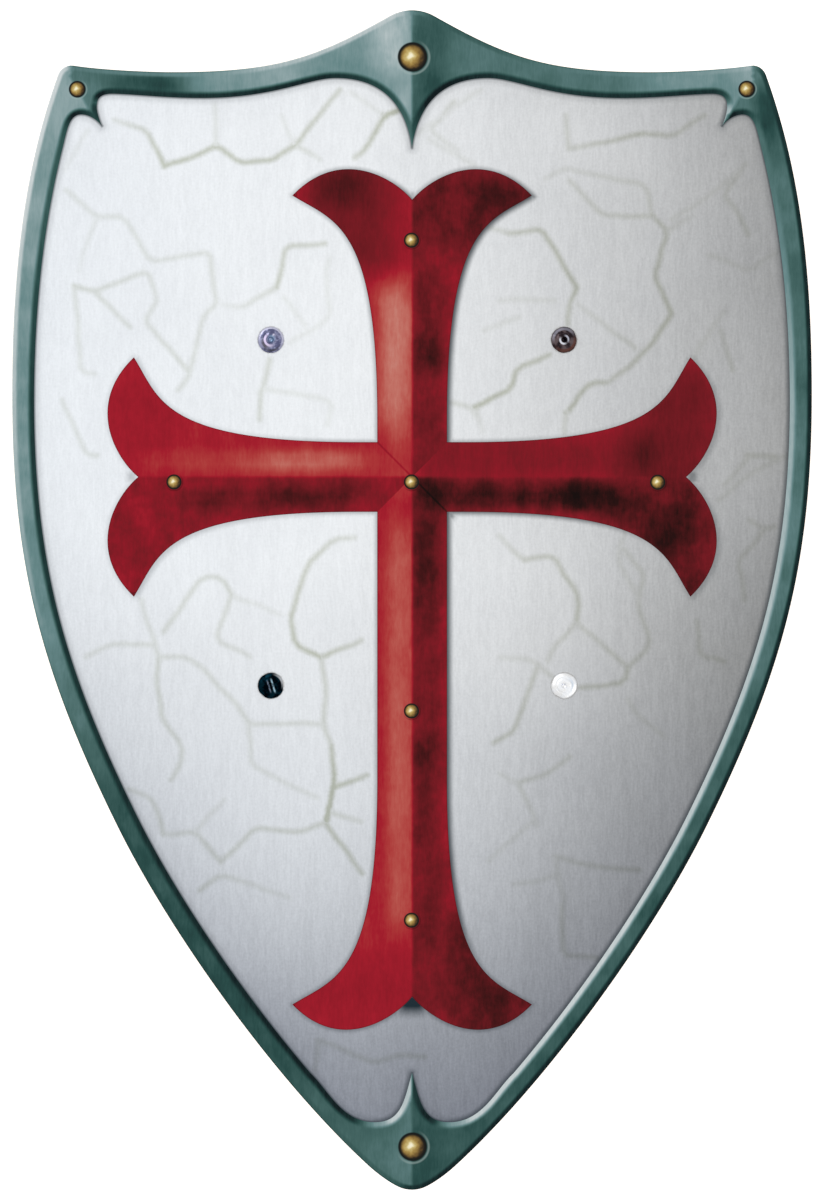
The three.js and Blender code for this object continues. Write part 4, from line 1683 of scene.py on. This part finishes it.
        # Painted highlight and shade on the frame.
        values["frame_light_and_shade"] = painted(self.drawn.frame_light_and_shade, places)
        values["cross_depth"] = self.cross.contour().measure(places)[0]
        values["cross_glow"] = painted(self.drawn.glow + self.drawn.lit_arm, places)
        values["cross_gloom"] = painted(self.drawn.gloom, places)
        values["cross_shade"] = painted(self.drawn.shade, places)
        values["field_light"] = self.drawn.field_light(places, border_depth)
        values["field_cool"] = self.drawn.field_cool(places)
        on_left = places[:, 0] < 0
        inner_tone = np.where(on_left, values["inner_tone_left"], values["inner_tone_right"])
        values["shade_side"] = 1.0 - smooth_step(inner_tone, *self.drawn.lit_inner)
        values["cast_depth"] = self.cross.contour().measure(places - self.shadow_shift)[0]
        # Painted shadows in the notches and an inner corner of the cross.
        values["notch_shade"] = painted(self.drawn.painted_shading_blots, places)
        gap, depth = self.crackle.measure(places)
        values["crack_gap"] = np.minimum(gap, self.crackle_reach)
        values["crack_depth"] = depth
        for key, value in values.items():
            set_attribute(piece, key, value)


@dataclass
class Rivet:
    """A tubular rivet: low head on the face, shank, and a rolled tail on the strap."""

    state: HeadState
    x: float
    y: float
    back: float
    face: float
    strap: float = 2.6
    head_radius: float = 5.2
    head_rise: float = 1.25
    rim_rise: float = 0.5
    rim_round: float = 0.2
    dimple_radius: float = 1.1
    dimple_depth: float = 0.75
    dimple_ease: float = 0.15
    ring_radius: float = 3.1
    ring_depth: float = 0.16
    ring_width: float = 0.22
    shank_radius: float = 2.0
    tail_radius: float = 3.7
    tail_height: float = 1.3
    bore_radius: float = 1.2
    bore_depth: float = 5.0
    chipped: float = 0.09
    knocked: float = 0.06
    sides: int = 72
    merge: float = 1e-6

    def profile(self) -> list[tuple[float, float]]:
        """Radius and height of the rivet's side, from the bottom of its bore to its dimple."""
        tail_top = self.back - self.strap
        bore_top = tail_top - self.tail_height + self.bore_depth
        points = [(0.0, bore_top), (self.bore_radius, bore_top)]
        middle = (self.tail_radius + self.bore_radius) / 2
        half = (self.tail_radius - self.bore_radius) / 2
        for angle in np.linspace(0.0, math.pi, 13):
            drop = math.sin(angle) * self.tail_height / 2
            points.append((middle - math.cos(angle) * half, tail_top - self.tail_height / 2 - drop))
        points += [(self.tail_radius, tail_top), (self.shank_radius, tail_top)]
        points += [(self.shank_radius, self.face), (self.head_radius - 0.1, self.face)]
        for angle in np.linspace(-50.0, 60.0, 6):
            turn = math.radians(angle)
            out, up = (self.rim_round * part for part in (math.cos(turn) - 1.0, math.sin(turn) + 1.0))
            points.append((self.head_radius + out, self.face + up))
        inner = self.dimple_radius + self.dimple_ease
        for share in np.linspace(0.08, 1.0, 16):
            radius = self.head_radius + (inner - self.head_radius) * share
            rise = self.head_rise - (self.head_rise - self.rim_rise) * (1.0 - share) ** 2
            groove = self.ring_depth * math.exp(-(((radius - self.ring_radius) / self.ring_width) ** 2))
            points.append((radius, self.face + rise - groove))
        for angle in np.linspace(25.0, 90.0, 6):
            turn = math.radians(angle)
            drop = self.dimple_depth * math.sin(turn)
            points.append((self.dimple_radius * math.cos(turn), self.face + self.head_rise - drop))
        return points

    def build(self, material: bpy.types.Material) -> bpy.types.Object:
        """Turns the rivet from its profile and knocks its head about a little."""
        places = [(radius, 0.0, height) for radius, height in self.profile()]
        piece = new_piece(f"{self.state.value}_turned", places, [])
        mesh = bmesh.new()
        mesh.from_mesh(piece.data)
        mesh.verts.ensure_lookup_table()
        for index in range(len(places) - 1):
            mesh.edges.new((mesh.verts[index], mesh.verts[index + 1]))
        mesh.to_mesh(piece.data)
        mesh.free()
        bpy.ops.object.mode_set(mode="EDIT")
        bpy.ops.mesh.select_all(action="SELECT")
        bpy.ops.mesh.spin(steps=self.sides, angle=2 * math.pi, center=(0, 0, 0), axis=(0, 0, 1))
        bpy.ops.object.mode_set(mode="OBJECT")
        close_mesh(self.merge)
        for vertex in piece.data.vertices:
            if vertex.co.z > (self.face - 0.05) * MM:
                seed = self.x * MM
                knock = noise.noise(Vector((vertex.co.x, vertex.co.y, seed)) * 700.0)
                depth = (0.5 + 0.5 * knock) * self.knocked * MM
                vertex.co.z -= depth * (vertex.co.z > self.face * MM)
                ring = Vector((vertex.co.x, vertex.co.y, 0.0)).normalized()
                chip = noise.noise(Vector((ring.x * 1.6, ring.y * 1.6, self.x + self.y)))
                shrink = 1.0 - self.chipped * max(0.0, chip)
                vertex.co.x *= shrink
                vertex.co.y *= shrink
        piece.data.transform(Matrix.Translation((self.x * MM, self.y * MM, 0.0)))
        bpy.ops.object.shade_smooth_by_angle(angle=math.radians(40.0))
        piece.data.materials.append(material)
        return piece


@dataclass
class Strap:
    """A leather arm strap: a lug under each rivet and an arch between them."""

    side: str
    x: float
    y: float
    back: float
    pitch: float = 138.3
    width: float = 26.0
    thickness: float = 2.6
    crest_span: float = 76.5
    crest_bend: float = 15.0
    lug_bend: float = 8.0
    past_rivet: float = 13.0
    before_bend: float = 12.0
    hole_radius: float = 2.3
    edge_round: float = 0.7
    crease_in: float = 2.4
    edge_wear: tuple[float, float] = (0.2, 2.2)

    def route(self) -> Line:
        """Places along the middle of the leather, seen from its side, closely spaced."""
        top, bottom = self.back - self.thickness / 2, self.thickness / 2
        rivet = self.pitch / 2
        right = [
            (self.crest_span / 2, bottom),
            (rivet - self.before_bend, top),
            (rivet + self.past_rivet, top),
        ]
        corners = np.array([(-x, z) for x, z in reversed(right)] + right)
        radii = [self.lug_bend, self.crest_bend, self.crest_bend, self.lug_bend]
        line = [corners[0]]
        for index, radius in enumerate(radii, start=1):
            before = corners[index] - corners[index - 1]
            after = corners[index + 1] - corners[index]
            before, after = before / np.linalg.norm(before), after / np.linalg.norm(after)
            turn = math.atan2(before[0] * after[1] - before[1] * after[0], before @ after)
            start = corners[index] - before * radius * math.tan(abs(turn) / 2)
            side = np.array([-before[1], before[0]]) * math.copysign(radius, turn)
            for share in np.linspace(0.0, 1.0, 24):
                line.append(start + side - side @ turned(turn * share))
        line.append(corners[-1])
        return np.array(line)

    def plan(self, length: float) -> Line:
        """The strap's outline when it lies flat: straight sides and round ends."""
        radius = self.width / 2
        run = length / 2 - radius
        top = arc((0, run), radius, -90, 90)
        bottom = arc((0, -run), radius, 90, 270)
        loop = np.vstack([top, bottom, top[:1]])
        return spaced(loop, 1.6)[:-1]

    def build(self, material: bpy.types.Material) -> bpy.types.Object:
        """Cuts the strap flat, bends it to its route and gives it its thickness."""
        route = spaced(self.route(), 0.25)
        steps = np.linalg.norm(np.diff(route, axis=0), axis=1)
        length = float(steps.sum())
        plan = self.plan(length)
        middle = plan.mean(axis=0)
        crease = middle + (plan - middle) * (
            1 - 2 * self.crease_in / self.width,
            1 - 2 * self.crease_in / length,
        )
        hole_at = length / 2 - self.past_rivet
        holes = [hole_ring((0, end * hole_at), self.hole_radius) for end in (-1, 1)]
        flat, triangles = Sheet([plan, crease], holes, 2.2, 1, 50.0).build()
        along = np.concatenate([[0.0], np.cumsum(steps)]) - length / 2
        slope = np.gradient(route, axis=0)
        slope /= np.linalg.norm(slope, axis=1)[:, None]
        on_y, on_z = (np.interp(flat[:, 1], along, route[:, axis]) for axis in (0, 1))
        places = np.column_stack([flat[:, 0] + self.x, on_y + self.y, on_z])
        piece = new_piece(f"arm_strap_{self.side}", places, triangles)
        gap = np.min([np.linalg.norm(flat - point, axis=1) for point in plan], axis=0)
        set_attribute(piece, "edge_wear", 1.0 - smooth_step(gap, *self.edge_wear))
        thick, rounded, sharp = self.thickness * MM, self.edge_round * MM, math.radians(50.0)
        apply_modifier(piece, "SOLIDIFY", thickness=thick, offset=0.0, use_even_offset=True)
        apply_modifier(
            piece, "BEVEL", width=rounded, segments=3, limit_method="ANGLE", angle_limit=sharp
        )
        close_mesh()
        bpy.ops.object.shade_smooth_by_angle(angle=sharp)
        piece.data.materials.append(material)
        return piece


@dataclass
class Studio:
    """Floor, lights and camera."""

    face: float
    distance: float = 1600.0
    lens: float = 120.0
    sensor: float = 36.0
    centre: tuple[float, float] = (-2.2, 0.0)
    floor_size: float = 8.0
    floor_glow: float = 0.5
    surround: float = 0.72
    aim: tuple[float, float, float] = (0.0, 0.0, 0.05)
    lamps: tuple = (("key", (-0.9, 1.0, 1.9), 1.0, 9.0), ("fill", (1.1, -0.7, 1.8), 1.4, 5.0))

    def floor(self) -> None:
        """A plain pale floor that can be seen through from below."""
        bpy.ops.object.select_all(action="DESELECT")
        bpy.ops.mesh.primitive_plane_add(size=self.floor_size, location=(0, 0, 0))
        floor = bpy.context.active_object
        floor.name = "floor"
        material, graph, shader = new_material("floor_paint")
        place = graph.place()
        cloud = graph.noise(place, 3.0, 2.0, 0.5)
        colour = graph.mix(cloud, linear(250, 250, 250), linear(255, 255, 255))
        graph.feed(shader.inputs["Base Color"], colour)
        graph.feed(shader.inputs["Roughness"], 0.9)
        graph.feed(shader.inputs["Emission Color"], linear(255, 255, 255))
        graph.feed(shader.inputs["Emission Strength"], self.floor_glow)
        see_through = graph.add("ShaderNodeBsdfTransparent")
        below = graph.add("ShaderNodeNewGeometry").outputs["Backfacing"]
        blend = graph.add("ShaderNodeMixShader")
        graph.feed(blend.inputs[0], below)
        graph.feed(blend.inputs[1], shader.outputs[0])
        graph.feed(blend.inputs[2], see_through.outputs[0])
        graph.feed(material.node_tree.nodes["Material Output"].inputs["Surface"], blend.outputs[0])
        floor.data.materials.append(material)

    def lights(self) -> None:
        """An even pale surround and two large soft lamps above."""
        scene = bpy.context.scene
        world = bpy.data.worlds.new("studio")
        world.use_nodes = True
        sky = world.node_tree.nodes["Background"].inputs
        sky["Color"].default_value = linear(255, 255, 255)
        sky["Strength"].default_value = self.surround
        scene.world = world
        for name, place, size, power in self.lamps:
            data = bpy.data.lights.new(name, "AREA")
            data.energy = power
            data.size = size
            lamp = bpy.data.objects.new(name, data)
            lamp.location = place
            beam = Vector(self.aim) - Vector(place)
            lamp.rotation_euler = beam.to_track_quat("-Z", "Y").to_euler()
            scene.collection.objects.link(lamp)

    def camera(self) -> None:
        """A long lens straight above the face, with the top of the shield at the top."""
        data = bpy.data.cameras.new("camera")
        data.lens = self.lens
        data.sensor_width = self.sensor
        data.clip_end = 20.0
        camera = bpy.data.objects.new("camera", data)
        camera.location = Vector((*self.centre, self.face + self.distance)) * MM
        bpy.context.scene.collection.objects.link(camera)
        bpy.context.scene.camera = camera
        bpy.context.scene.view_settings.view_transform = "Standard"

    def build(self) -> None:
        """Makes all of it."""
        self.floor()
        self.lights()
        self.camera()


def middle_of(node: str) -> tuple[float, float]:
    """Where the middle of a CAD node lies, seen from above, in millimetres."""
    low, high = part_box(node)
    return (low.x + high.x) / 2 / MM, (low.y + high.y) / 2 / MM


def finish_piece(piece: bpy.types.Object, node: str) -> None:
    """Says what a finished piece rides on and hides the CAD node that it replaces."""
    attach(piece, BODY)
    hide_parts(node)
    LOG.info("%s stands for %s, %d faces", piece.name, node, len(piece.data.polygons))


def main() -> None:
    """Builds the studio and the pieces."""
    logging.basicConfig(level=logging.INFO, format="%(name)s: %(message)s")
    middles = {state: middle_of(state.value) for state in HeadState}
    low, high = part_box("board")
    back, face = low.z / MM, high.z / MM
    Studio(face).build()
    effects = Effects()
    outline = BoardOutline()
    cross = CrossOutline()
    finish = PrintFinish()
    rivets = tuple(middles.values())
    cross_studs = tuple((x, y, CROSS_STUD_RADIUS) for x, y in CROSS_STUDS)
    materials = {
        PrintArea.FIELD: FieldPrint(effects, finish, rivets).build(),
        PrintArea.FRAME: FramePrint(effects, finish, FRAME_STUDS).build(),
        PrintArea.CROSS: CrossPrint(effects, finish, cross, cross_studs).build(),
        PrintArea.EDGE: PlyEdge(effects, back).build(),
        PrintArea.BACK: BareWood(effects).build(),
    }
    board = Board(outline, FieldOutline(outline), cross, list(rivets)).build(materials)
    finish_piece(board, "board")
    for state, (x, y) in middles.items():
        piece = Rivet(state, x, y, back, face).build(RivetSteel(effects, state, (x, y)).build())
        finish_piece(piece, state.value)
    leather = StrapLeather(effects).build()
    for side in ("left", "right"):
        strap = Strap(side, *middle_of(f"strap_{side}"), back)
        finish_piece(strap.build(leather), f"strap_{side}")


if __name__ == "__main__":
    main()
